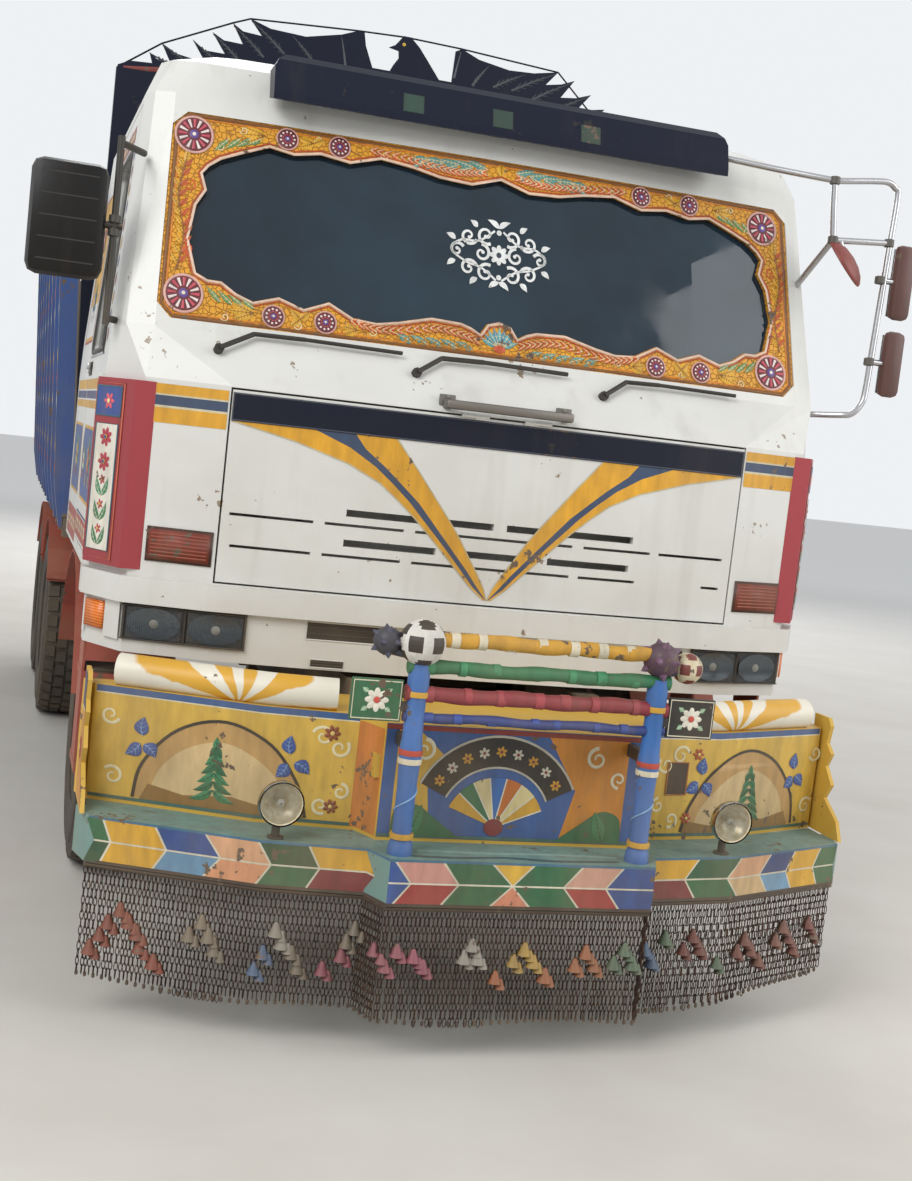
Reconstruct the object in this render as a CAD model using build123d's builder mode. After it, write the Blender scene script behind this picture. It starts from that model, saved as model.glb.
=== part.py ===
# Decorated six-by-four tipper truck, in millimetres.
# The truck faces -Y and +Z is up. The origin is on the ground under the middle of its box.
# Places along the truck are given behind the cab's front plane and turned into Y by back().

import os
from math import atan2, cos, degrees, hypot, pi, radians, sin, sqrt

from build123d import *

os.makedirs("parts", exist_ok=True)

# Overall
overall_length = 7700
bumper_reach = 700
mirror_span = 3000
front_y = -overall_length / 2 + bumper_reach
tail_end = overall_length - bumper_reach

# Running gear
tyre_radius = 525
tyre_width = 270
rim_radius = 254
front_axle = 1280
mid_axle = 4200
rear_axle = 5500
front_track = 2060
outer_twin_x = 1085
inner_twin_x = 765
axle_height = tyre_radius
kingpin_x = 830
kingpin_radius = 22
pin_clearance = 0.4
spindle_radius = 35

# Chassis
rail_front = -66
rail_tail = 440
rail_rear = tail_end - rail_tail
rail_half = 420
rail_flange = 80
rail_height = 250
rail_top = 980
rail_wall = 8
rail_bottom = rail_top - rail_height

# Cab
cab_depth = 2000
cab_bottom = 1000
sill_height = 1200
wall = 45
bow = 50
floor_thickness = 30
door_front = 330
door_rear = 1290
door_gap = 8
window_sill = 1930
belt_low = 1156
belt_high = 1243
belt_proud = 22

door_hinge_radius = 8
door_hinge_x = 1225 + door_hinge_radius
door_hinge_place = door_front + 3
door_hinge_levels = (1420, 1800)

# Front lid and windscreen
lid_half = 861
lid_low = 1247
lid_high = 1836
lid_gap = 6
lid_thickness = 25
hinge_barrel = 45
lid_hinge_radius = 6
lid_hinge_x = 60
lid_hinge_place = -bow - lid_hinge_radius
lid_hinge_height = lid_high + lid_gap / 2
screen_low = 2034
screen_high = 2697
screen_low_half = 1100
screen_high_half = 1082
screen_corner = 90
frame_depth = 22
glass_thickness = 6
seat_gap = 0.4

# Bumper
band_low = 455
band_high = 590
panel_high = 935
panel_set_back = 200
sheet = 8
post_x = 361
post_radius = 27
post_set_back = 60
post_top = 1135
fringe_drop = 345

# Load bed
bed_front = 2350
bed_half = 1230
bed_flare = 70
bed_floor_top = 1245
bed_side_top = 2600
bed_wall = 40
bed_pivot_tail = 520
bed_pivot_back = tail_end - bed_pivot_tail
bed_pivot_height = 1060
bed_pin_radius = 30
bed_clearance = 6
headboard_top = 3200
crown_top = 3556
tailgate_gap = 8

# Hoist
hoist_foot = 3550
hoist_foot_height = 860
hoist_eye = 4900
hoist_eye_height = 1085
barrel_radius = 75
ram_radius = 42
hoist_pin_radius = 25


def back(distance):
    """Y of a place that lies so far behind the cab's front plane."""
    return front_y + distance


def block(x, y, z, mode=Mode.ADD):
    """A box between pairs of coordinates, with y behind the cab's front plane."""
    with Locations((sum(x) / 2, back(sum(y) / 2), sum(z) / 2)):
        Box(x[1] - x[0], y[1] - y[0], z[1] - z[0], mode=mode)


def rod(start, end, radius, mode=Mode.ADD, sides=8, turn=0):
    """A round bar between two points as a prism with few faces, with y behind the cab's front plane."""
    foot = Vector(start[0], back(start[1]), start[2])
    head = Vector(end[0], back(end[1]), end[2])
    with BuildPart() as bar:
        with BuildSketch(Plane(origin=foot, z_dir=head - foot)):
            RegularPolygon(radius, sides, rotation=turn)
        extrude(amount=(head - foot).length)
    add(bar.part, mode=mode)


def bore(start, end, radius, sides=8):
    """A hole in which a bar of that radius can turn, with its clearance."""
    rod(start, end, (radius + pin_clearance) / cos(pi / sides), Mode.SUBTRACT, sides, 180 / sides)


def faceted(rings):
    """A loft with flat faces between rings that have as many points each."""
    faces = [Face(Wire.make_polygon(rings[0])), Face(Wire.make_polygon(rings[-1]))]
    for low, high in zip(rings, rings[1:]):
        for n in range(len(low)):
            m = (n + 1) % len(low)
            across = (low[m] - low[n]).cross(high[n] - low[n])
            if abs(across.dot(high[m] - low[n])) < 1e-6 * across.length:
                faces.append(Face(Wire.make_polygon([low[n], low[m], high[m], high[n]])))
            else:
                faces.append(Face(Wire.make_polygon([low[n], low[m], high[m]])))
                faces.append(Face(Wire.make_polygon([low[n], high[m], high[n]])))
    return Solid(Shell(faces))


def ring(centre, across, up, radius, sides):
    """Corners of a ring with flat runs at its lowest and highest place. Radius is that of its flats."""
    corners = []
    for n in range(sides):
        angle = 2 * pi * (n + 0.5) / sides
        reach = radius / cos(pi / sides)
        corners.append(centre + across * (reach * cos(angle)) + up * (reach * sin(angle)))
    return corners


def turned(side, place, sections, sides, mode=Mode.ADD):
    """A form round an axle with few faces. Columns of its sections: x, distance of its flats."""
    rings = []
    for x, reach in sections:
        middle = Vector(side * x, back(place), axle_height)
        rings.append(ring(middle, Vector(0, 1, 0), Vector(0, 0, 1), reach, sides))
    add(faceted(rings), mode=mode)


def ball(x, place, height, radius, sides=8):
    """A ball with few faces."""
    rings = []
    for share in (-0.95, -0.6, 0, 0.6, 0.95):
        middle = Vector(x, back(place), height + share * radius)
        rings.append(ring(middle, Vector(1, 0, 0), Vector(0, 1, 0), radius * sqrt(1 - share**2), sides))
    add(faceted(rings))


def bent_sheet(side, place, radius, thickness, angle_from, angle_to, steps, x_from, x_to):
    """A sheet bent round an axle, between two angles above the horizontal at the rear."""
    with BuildPart() as sheet_part:
        with BuildSketch(Plane.YZ.offset(side * x_from)):
            with BuildLine():
                points = []
                for reach, turns in ((radius + thickness, range(steps + 1)), (radius, range(steps, -1, -1))):
                    for n in turns:
                        angle = radians(angle_from + (angle_to - angle_from) * n / steps)
                        points.append((back(place) + reach * cos(angle), axle_height + reach * sin(angle)))
                Polyline(*points, close=True)
            make_face()
        extrude(amount=side * (x_to - x_from))
    add(sheet_part.part)


def save(piece, name):
    """Label a finished piece and write it."""
    piece.label = name
    export_step(piece, f"parts/{name}.step")


# Chassis frame: two channels, crossmembers, bed hinge ears, hoist feet and the rear towing jaw
cross_height = 120
cross_width = 70
# Crossmembers. Columns: place, height of the lower edge.
crossmembers = (
    (-20, rail_bottom + rail_wall + 0.4),
    (650, rail_bottom + rail_wall + 0.4),
    (2250, rail_top - 160),
    (3150, rail_top - 160),
    (4850, rail_bottom + rail_wall + 0.4),
    (rail_rear - 140, rail_bottom + rail_wall + 0.4),
)
ear_x = (370, 410)
ear_reach = 55
tow_height = rail_bottom + 70
tow_gap = 60
tow_ear = 25
tow_bore = 20
tow_reach = 110
with BuildPart() as chassis_frame:
    with BuildSketch(Plane.XZ.offset(-back(rail_front))):
        for side in (-1, 1):
            with Locations((side * (rail_half - rail_flange / 2), rail_top - rail_height / 2)):
                Rectangle(rail_flange, rail_height)
            with Locations((side * (rail_half - rail_flange / 2 - rail_wall), rail_top - rail_height / 2)):
                Rectangle(rail_flange, rail_height - 2 * rail_wall, mode=Mode.SUBTRACT)
    extrude(amount=-(rail_rear - rail_front))
    # Crossmembers fit between the rails' webs with a seat's gap
    inner_half = rail_half - rail_wall - seat_gap
    for place, level in crossmembers:
        block(
            (-inner_half, inner_half),
            (place - cross_width / 2, place + cross_width / 2),
            (level, level + cross_height),
        )
    # Hinge saddle for the bed: two ears on the rails and the pin through them
    for side in (-1, 1):
        block(
            sorted((side * ear_x[0], side * ear_x[1])),
            (bed_pivot_back - ear_reach, bed_pivot_back + ear_reach),
            (rail_top + seat_gap, bed_pivot_height + bed_pin_radius),
        )
    rod(
        (-480, bed_pivot_back, bed_pivot_height),
        (480, bed_pivot_back, bed_pivot_height),
        bed_pin_radius,
    )
    # Hoist foot: a crossmember with two ears and a pin through the barrel's eye
    block(
        (-inner_half, inner_half),
        (hoist_foot - 190, hoist_foot - 110),
        (rail_bottom + 60, rail_top - 40),
    )
    for side in (-1, 1):
        block(
            sorted((side * 45, side * 65)),
            (hoist_foot - 110 + seat_gap, hoist_foot + 40),
            (hoist_foot_height - 45, hoist_foot_height + 45),
        )
    rod(
        (-70, hoist_foot, hoist_foot_height),
        (70, hoist_foot, hoist_foot_height),
        hoist_pin_radius,
    )
    # Rear towing jaw: two ears with a bore for a drawbar pin
    for level in (-1, 1):
        middle = tow_height + level * (tow_gap + tow_ear) / 2
        block(
            (-50, 50),
            (rail_rear - 140 + cross_width / 2 + seat_gap, rail_rear + tow_reach),
            (middle - tow_ear / 2, middle + tow_ear / 2),
        )
    with Locations((0, back(rail_rear + tow_reach - 45), tow_height)):
        Cylinder(tow_bore, tow_gap + 2 * tow_ear + 2, mode=Mode.SUBTRACT)
save(chassis_frame.part, "chassis_frame")

# Engine and gearbox, closed in: one plain block
with BuildPart() as engine:
    engine_half = rail_half - rail_flange
    block((-engine_half, engine_half), (760, 1750), (rail_bottom + 20, 1370))
save(engine.part, "engine")

# Rear axles with their final drives, and the two propeller shafts
axle_tube = 60
bowl_radius = 190
shaft_radius = 45
axle_reach = outer_twin_x + 90
bowl_half = 110
with BuildPart() as driveline:
    for place in (mid_axle, rear_axle):
        rod((-axle_reach, place, axle_height), (axle_reach, place, axle_height), axle_tube)
        bowl = [(-1.5, 70), (-0.8, bowl_radius), (0.8, bowl_radius), (1.5, 70)]
        turned(1, place, [(shift * bowl_half, radius) for shift, radius in bowl], 12)
    bowl_gap = bowl_radius + seat_gap
    rod((0, 1754 + seat_gap, rail_bottom + 60), (0, mid_axle - bowl_gap - 4, axle_height + 40), shaft_radius)
    rod((0, mid_axle + bowl_gap, axle_height), (0, rear_axle - bowl_gap, axle_height), shaft_radius)
save(driveline.part, "driveline")

# Leaf springs: a pair under the cab and one pair across the two rear axles
spring_width = 80
leaf = 14
front_spring_x = 380
rear_spring_x = 475
beam_top = 510
with BuildPart() as leaf_springs:
    for side in (-1, 1):
        x = side * front_spring_x
        width = (x - spring_width / 2, x + spring_width / 2)
        for row, reach in enumerate((640, 480, 330, 190)):
            top = beam_top + leaf * (4 - row)
            block(width, (front_axle - reach, front_axle + reach), (top - leaf, top))
        for end in (-1, 1):
            place = front_axle + end * 605
            block(width, (place - 35, place + 35), (beam_top + 4 * leaf, rail_bottom))
        x = side * rear_spring_x
        width = (x - spring_width / 2, x + spring_width / 2)
        middle = (mid_axle + rear_axle) / 2
        base = axle_height + axle_tube
        for row, reach in enumerate((700, 560, 420, 280, 150)):
            block(width, (middle - reach, middle + reach), (base + leaf * row, base + leaf * (row + 1)))
        with BuildSketch(Plane.YZ.offset(x)):
            with BuildLine():
                Polyline(
                    (back(middle - 130), base),
                    (back(middle + 130), base),
                    (back(middle + 50), base - 130),
                    (back(middle - 50), base - 130),
                    close=True,
                )
            make_face()
        extrude(amount=-side * (rear_spring_x - rail_half + 20))
        block(
            sorted((side * rail_half, side * (rear_spring_x - spring_width / 4))),
            (middle - 120, middle + 120),
            (base - 10, rail_top - 30),
        )
save(leaf_springs.part, "leaf_springs")

# Front axle: an I-beam with a dropped middle and an eye for each kingpin
eye_radius = 46
eye_half = 70
with BuildPart() as front_axle_beam:
    with BuildSketch(Plane.XZ.offset(-back(front_axle - 45))):
        with BuildLine():
            right = [
                (660, beam_top - 110),
                (760, axle_height - 55),
                (kingpin_x, axle_height - 55),
                (kingpin_x, axle_height + 55),
                (740, axle_height + 55),
                (640, beam_top),
            ]
            left = [(-x, z) for x, z in reversed(right)]
            Polyline(*right, *left, close=True)
        make_face()
    extrude(amount=-90)
    for face in (-1, 1):
        block(
            (-620, 620),
            sorted((front_axle + face * 14, front_axle + face * 60)),
            (beam_top - 92, beam_top - 18),
            mode=Mode.SUBTRACT,
        )
    for side in (-1, 1):
        eye_foot = (side * kingpin_x, front_axle, axle_height - eye_half)
        eye_head = (side * kingpin_x, front_axle, axle_height + eye_half)
        rod(eye_foot, eye_head, eye_radius)
        bore(eye_foot, eye_head, kingpin_radius)
save(front_axle_beam.part, "front_axle")

# Fuel tank on one side and two air tanks on the other, on brackets from the rails
tank_inner = rail_half + 60
tank_outer = 1120
tank_front = 2450
tank_rear = 3350
tank_low = 430
tank_high = 930
air_radius = 125
with BuildPart() as tanks:
    with BuildSketch(Plane.XZ.offset(-back(tank_front))):
        with Locations(((tank_inner + tank_outer) / 2, (tank_low + tank_high) / 2)):
            Rectangle(tank_outer - tank_inner, tank_high - tank_low)
        chamfer(vertices(), 45)
    extrude(amount=-(tank_rear - tank_front))
    for place in (tank_front + 150, tank_rear - 150):
        block((rail_half, tank_inner + 10), (place - 30, place + 30), (tank_low + 320, tank_high - 60))
    for level in (tank_low + 130, tank_low + 130 + 2 * air_radius + 20):
        rod((-800, tank_front, level), (-800, tank_rear, level), air_radius)
    for place in (tank_front + 150, tank_rear - 150):
        block(
            (-800, -rail_half),
            (place - 30, place + 30),
            (tank_low + 130 + air_radius - 20, tank_low + 130 + air_radius + 40),
        )
        block(
            (-rail_half - 60, -rail_half),
            (place - 30, place + 30),
            (tank_low + 130 + air_radius, rail_top - 60),
        )
save(tanks.part, "tanks")

# Rear mudguards: an arc of sheet over each twin wheel, on tubes from the rails
guard_radius = tyre_radius + 34
guard_sheet = 4
guard_inner = 620
guard_outer = 1225
guard_angle = 62
stay_radius = 16
with BuildPart() as mudguards:
    for side in (-1, 1):
        for place in (mid_axle, rear_axle):
            bent_sheet(
                side,
                place,
                guard_radius,
                guard_sheet,
                90 - guard_angle,
                90 + guard_angle,
                6,
                guard_inner,
                guard_outer,
            )
    stay_drop = guard_radius + guard_sheet + stay_radius - 8
    for side in (-1, 1):
        for place, lean in ((mid_axle, -1), (mid_axle, 1), (rear_axle, -1), (rear_axle, 1)):
            stay_y = place + lean * stay_drop * sin(radians(guard_angle - 2))
            stay_z = axle_height + stay_drop * cos(radians(guard_angle - 2))
            rod((side * rail_half, stay_y, stay_z), (side * guard_outer, stay_y, stay_z), stay_radius, sides=6)
save(mudguards.part, "mudguards")

# Tail bar under the back of the frame, with two lamps
lamp_x = (560, 800)
with BuildPart() as tail_bar:
    block((-1150, 1150), (rail_rear - 90, rail_rear - 20), (560, 660))
    for side in (-1, 1):
        block(
            sorted((side * (rail_half - 60), side * (rail_half - 1))),
            (rail_rear - 90, rail_rear - 20),
            (655, rail_bottom),
        )
        with BuildSketch(Plane.XZ.offset(-back(rail_rear - 21))):
            with Locations((side * sum(lamp_x) / 2, 610)):
                Rectangle(lamp_x[1] - lamp_x[0], 90)
            chamfer(vertices(), 8)
        extrude(amount=-46)
save(tail_bar.part, "tail_bar")

# The cab's outer form. Each row is a level of its outline: height, share of an inset taken off
# the height, distance behind the front plane, half width, and the corner's reach in and back.
cab_levels = (
    (cab_bottom, 1, 0, 1225, 364, 250),
    (1845, 0, 0, 1225, 364, 250),
    (2005, 0, 140, 1218, 118, 130),
    (2755, 0, 392, 1165, 85, 110),
    (2870, 1, 445, 1120, 110, 110),
    (2935, 1, 600, 970, 110, 110),
)


def cab_volume(inset):
    """The space inside the cab's outer form, drawn in by an inset."""
    rings = []
    for height, drop, nose, half, corner_in, corner_back in cab_levels:
        w = half - inset
        y = back(nose + inset)
        flat = w - corner_in
        half_line = [(flat * n / 3, y - bow * (1 - (n / 3) ** 2)) for n in range(4)]
        half_line.append((w - 0.29 * corner_in, y + 0.29 * corner_back))
        half_line.append((w, y + corner_back))
        half_line.append((w, back(cab_depth - inset)))
        mirrored = [(-x, place) for x, place in reversed(half_line[1:])]
        rings.append([Vector(x, place, height - inset * drop) for x, place in mirrored + half_line])
    return faceted(rings)


cab_outside = cab_volume(0)
with BuildPart() as cab_skin:
    add(cab_outside)
    add(cab_volume(wall), mode=Mode.SUBTRACT)


def screen_outline(shrink):
    """The windscreen's opening, drawn in by a shrink."""
    with BuildSketch() as outline:
        with BuildLine():
            Polyline(
                (-screen_low_half + shrink, screen_low + shrink),
                (screen_low_half - shrink, screen_low + shrink),
                (screen_high_half - shrink, screen_high - shrink),
                (-screen_high_half + shrink, screen_high - shrink),
                close=True,
            )
        make_face()
        chamfer(outline.vertices(), (screen_corner - shrink) / 2)
    return outline.sketch


def screen_prism(outline):
    """A prism through the cab's front over an outline in the front view."""
    with BuildPart() as prism:
        with BuildSketch(Plane.XZ.offset(-back(-300))):
            add(outline)
        extrude(amount=-1000)
    return prism.part


roof_seam = 2730
pillar_foot = 1990
pillar_back = 545


def front_zone(gap):
    """The space ahead of the seam between the cab's front and its doors, moved back by a gap."""
    with BuildPart() as zone:
        with BuildSketch(Plane.YZ.offset(-1400)):
            with BuildLine():
                Polyline(
                    (back(-300), cab_bottom - 100),
                    (back(door_front + gap), cab_bottom - 100),
                    (back(door_front + gap), pillar_foot),
                    (back(pillar_back + gap), roof_seam),
                    (back(pillar_back + gap), roof_seam + 50),
                    (back(-300), roof_seam + 50),
                    close=True,
                )
            make_face()
        extrude(amount=2800)
    return zone.part


# Fixed front of the cab: nose, corners, windscreen surround and belt bar, with the lid's opening
firewall = 150
with BuildPart() as cab_front:
    add(cab_skin.part)
    add(front_zone(0), mode=Mode.INTERSECT)
    block((-1300, 1300), (-200, cab_depth), (cab_bottom - 100, roof_seam), mode=Mode.INTERSECT)
    add(screen_prism(screen_outline(0)), mode=Mode.SUBTRACT)
    block(
        (-lid_half - lid_gap, lid_half + lid_gap),
        (-200, firewall - 15),
        (lid_low - lid_gap, lid_high + lid_gap),
        mode=Mode.SUBTRACT,
    )
    block((-1125, 1125), (firewall, firewall + 12), (cab_bottom, 1890))
with BuildPart() as belt_bar:
    add(cab_volume(-belt_proud))
    add(cab_volume(1), mode=Mode.SUBTRACT)
    block((-1300, 1300), (-200, door_front - 20), (belt_low, belt_high - lid_gap), mode=Mode.INTERSECT)
with BuildPart() as cab_face:
    add(cab_front.part)
    add(belt_bar.part)
    # Hinge barrels of the lid and the doors, on the fixed side
    for side in (-1, 1):
        rod(
            (side * (lid_hinge_x + hinge_barrel + seat_gap), lid_hinge_place, lid_hinge_height),
            (side * (lid_hinge_x + 2 * hinge_barrel), lid_hinge_place, lid_hinge_height),
            lid_hinge_radius,
        )
        block(
            sorted(
                (
                    side * (lid_hinge_x + hinge_barrel + seat_gap),
                    side * (lid_hinge_x + 2 * hinge_barrel),
                )
            ),
            (lid_hinge_place, 20),
            (lid_high + lid_gap, lid_high + lid_gap + 6),
        )
        for level in door_hinge_levels:
            rod(
                (side * door_hinge_x, door_hinge_place, level + seat_gap / 2),
                (side * door_hinge_x, door_hinge_place, level + hinge_barrel),
                door_hinge_radius,
            )
            block(
                sorted((side * (door_hinge_x - 20), side * (door_hinge_x + 2))),
                (door_front - 30, door_hinge_place),
                (level + seat_gap / 2, level + hinge_barrel),
            )
            block(
                sorted((side * (door_hinge_x - 60), side * (door_hinge_x - door_hinge_radius))),
                (door_front, door_hinge_place + 20),
                (level, level + hinge_barrel + 1),
                mode=Mode.SUBTRACT,
            )
save(cab_face.part, "cab_front")

# Grab handle over the lid
handle_half = 195
handle_level = 1868
with BuildPart() as grab_handle:
    for side in (-1, 1):
        x = side * handle_half
        block((x - 17, x + 17), (-85, 60), (handle_level - 15, handle_level + 15))
    block((-handle_half - 17, handle_half + 17), (-93, -66), (handle_level - 15, handle_level + 15))
    add(cab_outside, mode=Mode.SUBTRACT)
save(grab_handle.part, "grab_handle")

# Cab sides: pillars, sill and rail round each doorway
with BuildPart() as cab_sides:
    add(cab_skin.part)
    block((-1300, 1300), (door_front, cab_depth - wall), (sill_height, roof_seam), mode=Mode.INTERSECT)
    add(front_zone(0), mode=Mode.SUBTRACT)
    block(
        (-1300, 1300),
        (door_front - 1, door_rear + door_gap),
        (sill_height + 40, roof_seam + 1),
        mode=Mode.SUBTRACT,
    )
save(cab_sides.part, "cab_sides")

# Back wall with its window opening
rear_window = (1500, 420)
window_corner = 50
rear_window_middle = 2280
with BuildPart() as cab_rear:
    add(cab_outside)
    block((-1300, 1300), (cab_depth - wall, cab_depth + 10), (sill_height, roof_seam), mode=Mode.INTERSECT)
    with BuildSketch(Plane.XZ.offset(-back(cab_depth - 2 * wall))):
        with Locations((0, rear_window_middle)):
            Rectangle(*rear_window)
        chamfer(vertices(), window_corner)
    extrude(amount=-3 * wall, mode=Mode.SUBTRACT)
save(cab_rear.part, "cab_rear")

# Roof
with BuildPart() as cab_roof:
    add(cab_skin.part)
    block((-1300, 1300), (-200, cab_depth + 10), (roof_seam, 3100), mode=Mode.INTERSECT)
save(cab_roof.part, "cab_roof")

# Floor with a raised tunnel over the engine
tunnel_half = 420
tunnel_top = 1480
floor_front = firewall + 12
with BuildPart() as cab_floor:
    floor_z = (sill_height, sill_height + floor_thickness)
    block((-1200, 1200), (floor_front, cab_depth - wall), floor_z)
    add(cab_volume(wall + seat_gap), mode=Mode.INTERSECT)
    block((-tunnel_half, tunnel_half), (650, cab_depth - wall), (sill_height, tunnel_top))
    block(
        (-tunnel_half + floor_thickness, tunnel_half - floor_thickness),
        (650 + floor_thickness, cab_depth),
        (sill_height - 10, tunnel_top - floor_thickness),
        mode=Mode.SUBTRACT,
    )
    for side in (-1, 1):
        for place in (480, 1850):
            block(
                sorted((side * (rail_half - 70), side * (rail_half - 10))),
                (place - 40, place + 40),
                (rail_top, sill_height),
            )
save(cab_floor.part, "cab_floor")

# Windscreen glass behind the carved frame
with BuildPart() as windscreen:
    add(cab_volume(frame_depth + seat_gap))
    add(cab_volume(frame_depth + seat_gap + glass_thickness), mode=Mode.SUBTRACT)
    add(screen_prism(screen_outline(seat_gap)), mode=Mode.INTERSECT)
    block((-1300, 1300), (-200, door_front + 200), (screen_low, screen_high), mode=Mode.INTERSECT)
    with BuildSketch(Plane.XZ.offset(-back(cab_depth - wall / 2))):
        with Locations((0, rear_window_middle)):
            Rectangle(rear_window[0] - 2 * seat_gap, rear_window[1] - 2 * seat_gap)
        chamfer(vertices(), window_corner)
    extrude(amount=-glass_thickness)
save(windscreen.part, "windscreen")

# Carved frame: its inner edge is a chain of short runs. Columns: end x, end height, middle x, middle height,
# for the right half from the top middle to the bottom middle.
carved_edge = (
    (210, 2606, 100, 2600),
    (410, 2638, 300, 2625),
    (610, 2622, 512, 2608),
    (775, 2620, 695, 2606),
    (925, 2558, 860, 2586),
    (982, 2505, 962, 2530),
    (996, 2400, 966, 2452),
    (985, 2185, 1014, 2290),
    (905, 2167, 948, 2168),
    (805, 2116, 858, 2136),
    (645, 2114, 725, 2141),
    (485, 2105, 565, 2146),
    (340, 2113, 410, 2100),
    (130, 2137, 230, 2141),
    (64, 2108, 95, 2126),
    (0, 2156, 40, 2144),
)
with BuildSketch() as carved_hole:
    with BuildLine():
        for side in (1, -1):
            points = [(0, 2632)]
            for end_x, end_z, middle_x, middle_z in carved_edge:
                points += [(side * middle_x, middle_z), (side * end_x, end_z)]
            Polyline(*points)
    make_face()
with BuildPart() as screen_frame:
    add(cab_volume(4))
    add(cab_volume(frame_depth), mode=Mode.SUBTRACT)
    add(screen_prism(screen_outline(seat_gap)), mode=Mode.INTERSECT)
    block((-1300, 1300), (-200, door_front + 200), (screen_low, screen_high), mode=Mode.INTERSECT)
    add(screen_prism(carved_hole.sketch), mode=Mode.SUBTRACT)
save(screen_frame.part, "screen_frame")

# Visor box over the windscreen: a section in the side view, with rounded ends
visor_half = 790
with BuildPart() as visor:
    with BuildSketch(Plane.YZ.offset(-visor_half)):
        with BuildLine():
            Polyline(
                (back(335), 2775),
                (back(250), 2760),
                (back(252), 2785),
                (back(285), 2890),
                (back(310), 2912),
                (back(395), 2918),
                close=True,
            )
        make_face()
    extrude(amount=2 * visor_half)
    for side in (-1, 1):
        with BuildSketch(Plane.XZ.offset(-back(200))):
            with BuildLine():
                Polyline(
                    (side * visor_half, 2868),
                    (side * (visor_half - 14), 2895),
                    (side * (visor_half - 45), 2920),
                    (side * visor_half, 2920),
                    close=True,
                )
            make_face()
        extrude(amount=-260, mode=Mode.SUBTRACT)
    for side in (-1, 0, 1):
        block((side * 700 - 20, side * 700 + 20), (330, 470), (2795, 2815))
    add(cab_outside, mode=Mode.SUBTRACT)
save(visor.part, "visor")

# Wipers. Columns: pivot x and height, elbow x and height, ends of the blade in x and height.
wiper_rows = (
    (-908, 1958, -800, 2014, -640, 2016, -330, 2012),
    (-286, 1958, -200, 2012, -60, 2016, 230, 2012),
    (351, 1958, 440, 2012, 560, 2016, 850, 2014),
)
arm_radius = 8
blade_radius = 7


def ahead_of_screen(x, height):
    """A point just ahead of the cowl or the windscreen, in front of the cab's bowed face."""
    nose = 140 * (height - 1845) / 160 if height < 2005 else 140 + 0.336 * (height - 2005)
    return (x, nose - bow * (1 - (x / 1100) ** 2) - 2 * arm_radius - 6, height)


with BuildPart() as wipers:
    for row in wiper_rows:
        pivot, elbow, blade_start, blade_end = [ahead_of_screen(*row[n : n + 2]) for n in (0, 2, 4, 6)]
        hub = (pivot[0], pivot[1] + 50, pivot[2] - 16)
        rod(hub, pivot, 2 * arm_radius)
        for first, second, radius in (
            (pivot, elbow, arm_radius),
            (elbow, blade_start, arm_radius),
            (blade_start, blade_end, blade_radius),
        ):
            rod(first, second, radius, sides=6)
    add(cab_outside, mode=Mode.SUBTRACT)
save(wipers.part, "wipers")

# Framed panels on the cab's front corners
corner_frame = 22
with BuildPart() as corner_panels:
    add(cab_volume(-corner_frame))
    add(cab_volume(-0.4), mode=Mode.SUBTRACT)
    block((-1300, 1300), (62, 262), (1258, 1832), mode=Mode.INTERSECT)
save(corner_panels.part, "corner_panels")

# Headlamps in the band under the belt, and the bumper's two fog lamps
lamp_low = 1036
lamp_high = belt_low - 1
lamp_inner = 748
fog_x = 695
fog_height = 700
fog_radius = 66
fog_face = -575
with BuildPart() as front_lamps:
    add(cab_volume(-18))
    add(cab_volume(-0.4), mode=Mode.SUBTRACT)
    block((-1300, 1300), (-200, 240), (lamp_low, lamp_high), mode=Mode.INTERSECT)
    block((-lamp_inner, lamp_inner), (-200, 400), (lamp_low - 1, lamp_high + 1), mode=Mode.SUBTRACT)
    for side in (-1, 1):
        rings = []
        for depth, radius in ((0, fog_radius - 12), (14, fog_radius), (40, fog_radius), (85, 26)):
            middle = Vector(side * fog_x, back(fog_face + depth), fog_height)
            rings.append(ring(middle, Vector(1, 0, 0), Vector(0, 0, 1), radius, 10))
        add(faceted(rings))
        rod((side * fog_x, fog_face + 55, band_high), (side * fog_x, fog_face + 55, fog_height), 12, sides=6)
save(front_lamps.part, "front_lamps")

# Seats: a cushion and a back on a base, for driver and mate
seat_x = 690
seat_front = 980
with BuildPart() as seats:
    for side in (-1, 1):
        x = side * seat_x
        block((x - 180, x + 180), (seat_front + 60, seat_front + 440), (sill_height + floor_thickness, 1500))
        with BuildSketch(Plane.YZ.offset(x - 240)):
            with BuildLine():
                Polyline(
                    (back(seat_front), 1500),
                    (back(seat_front + 560), 1500),
                    (back(seat_front + 700), 2240),
                    (back(seat_front + 590), 2240),
                    (back(seat_front + 470), 1640),
                    (back(seat_front), 1620),
                    close=True,
                )
            make_face()
        extrude(amount=480)
save(seats.part, "seats")

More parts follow.
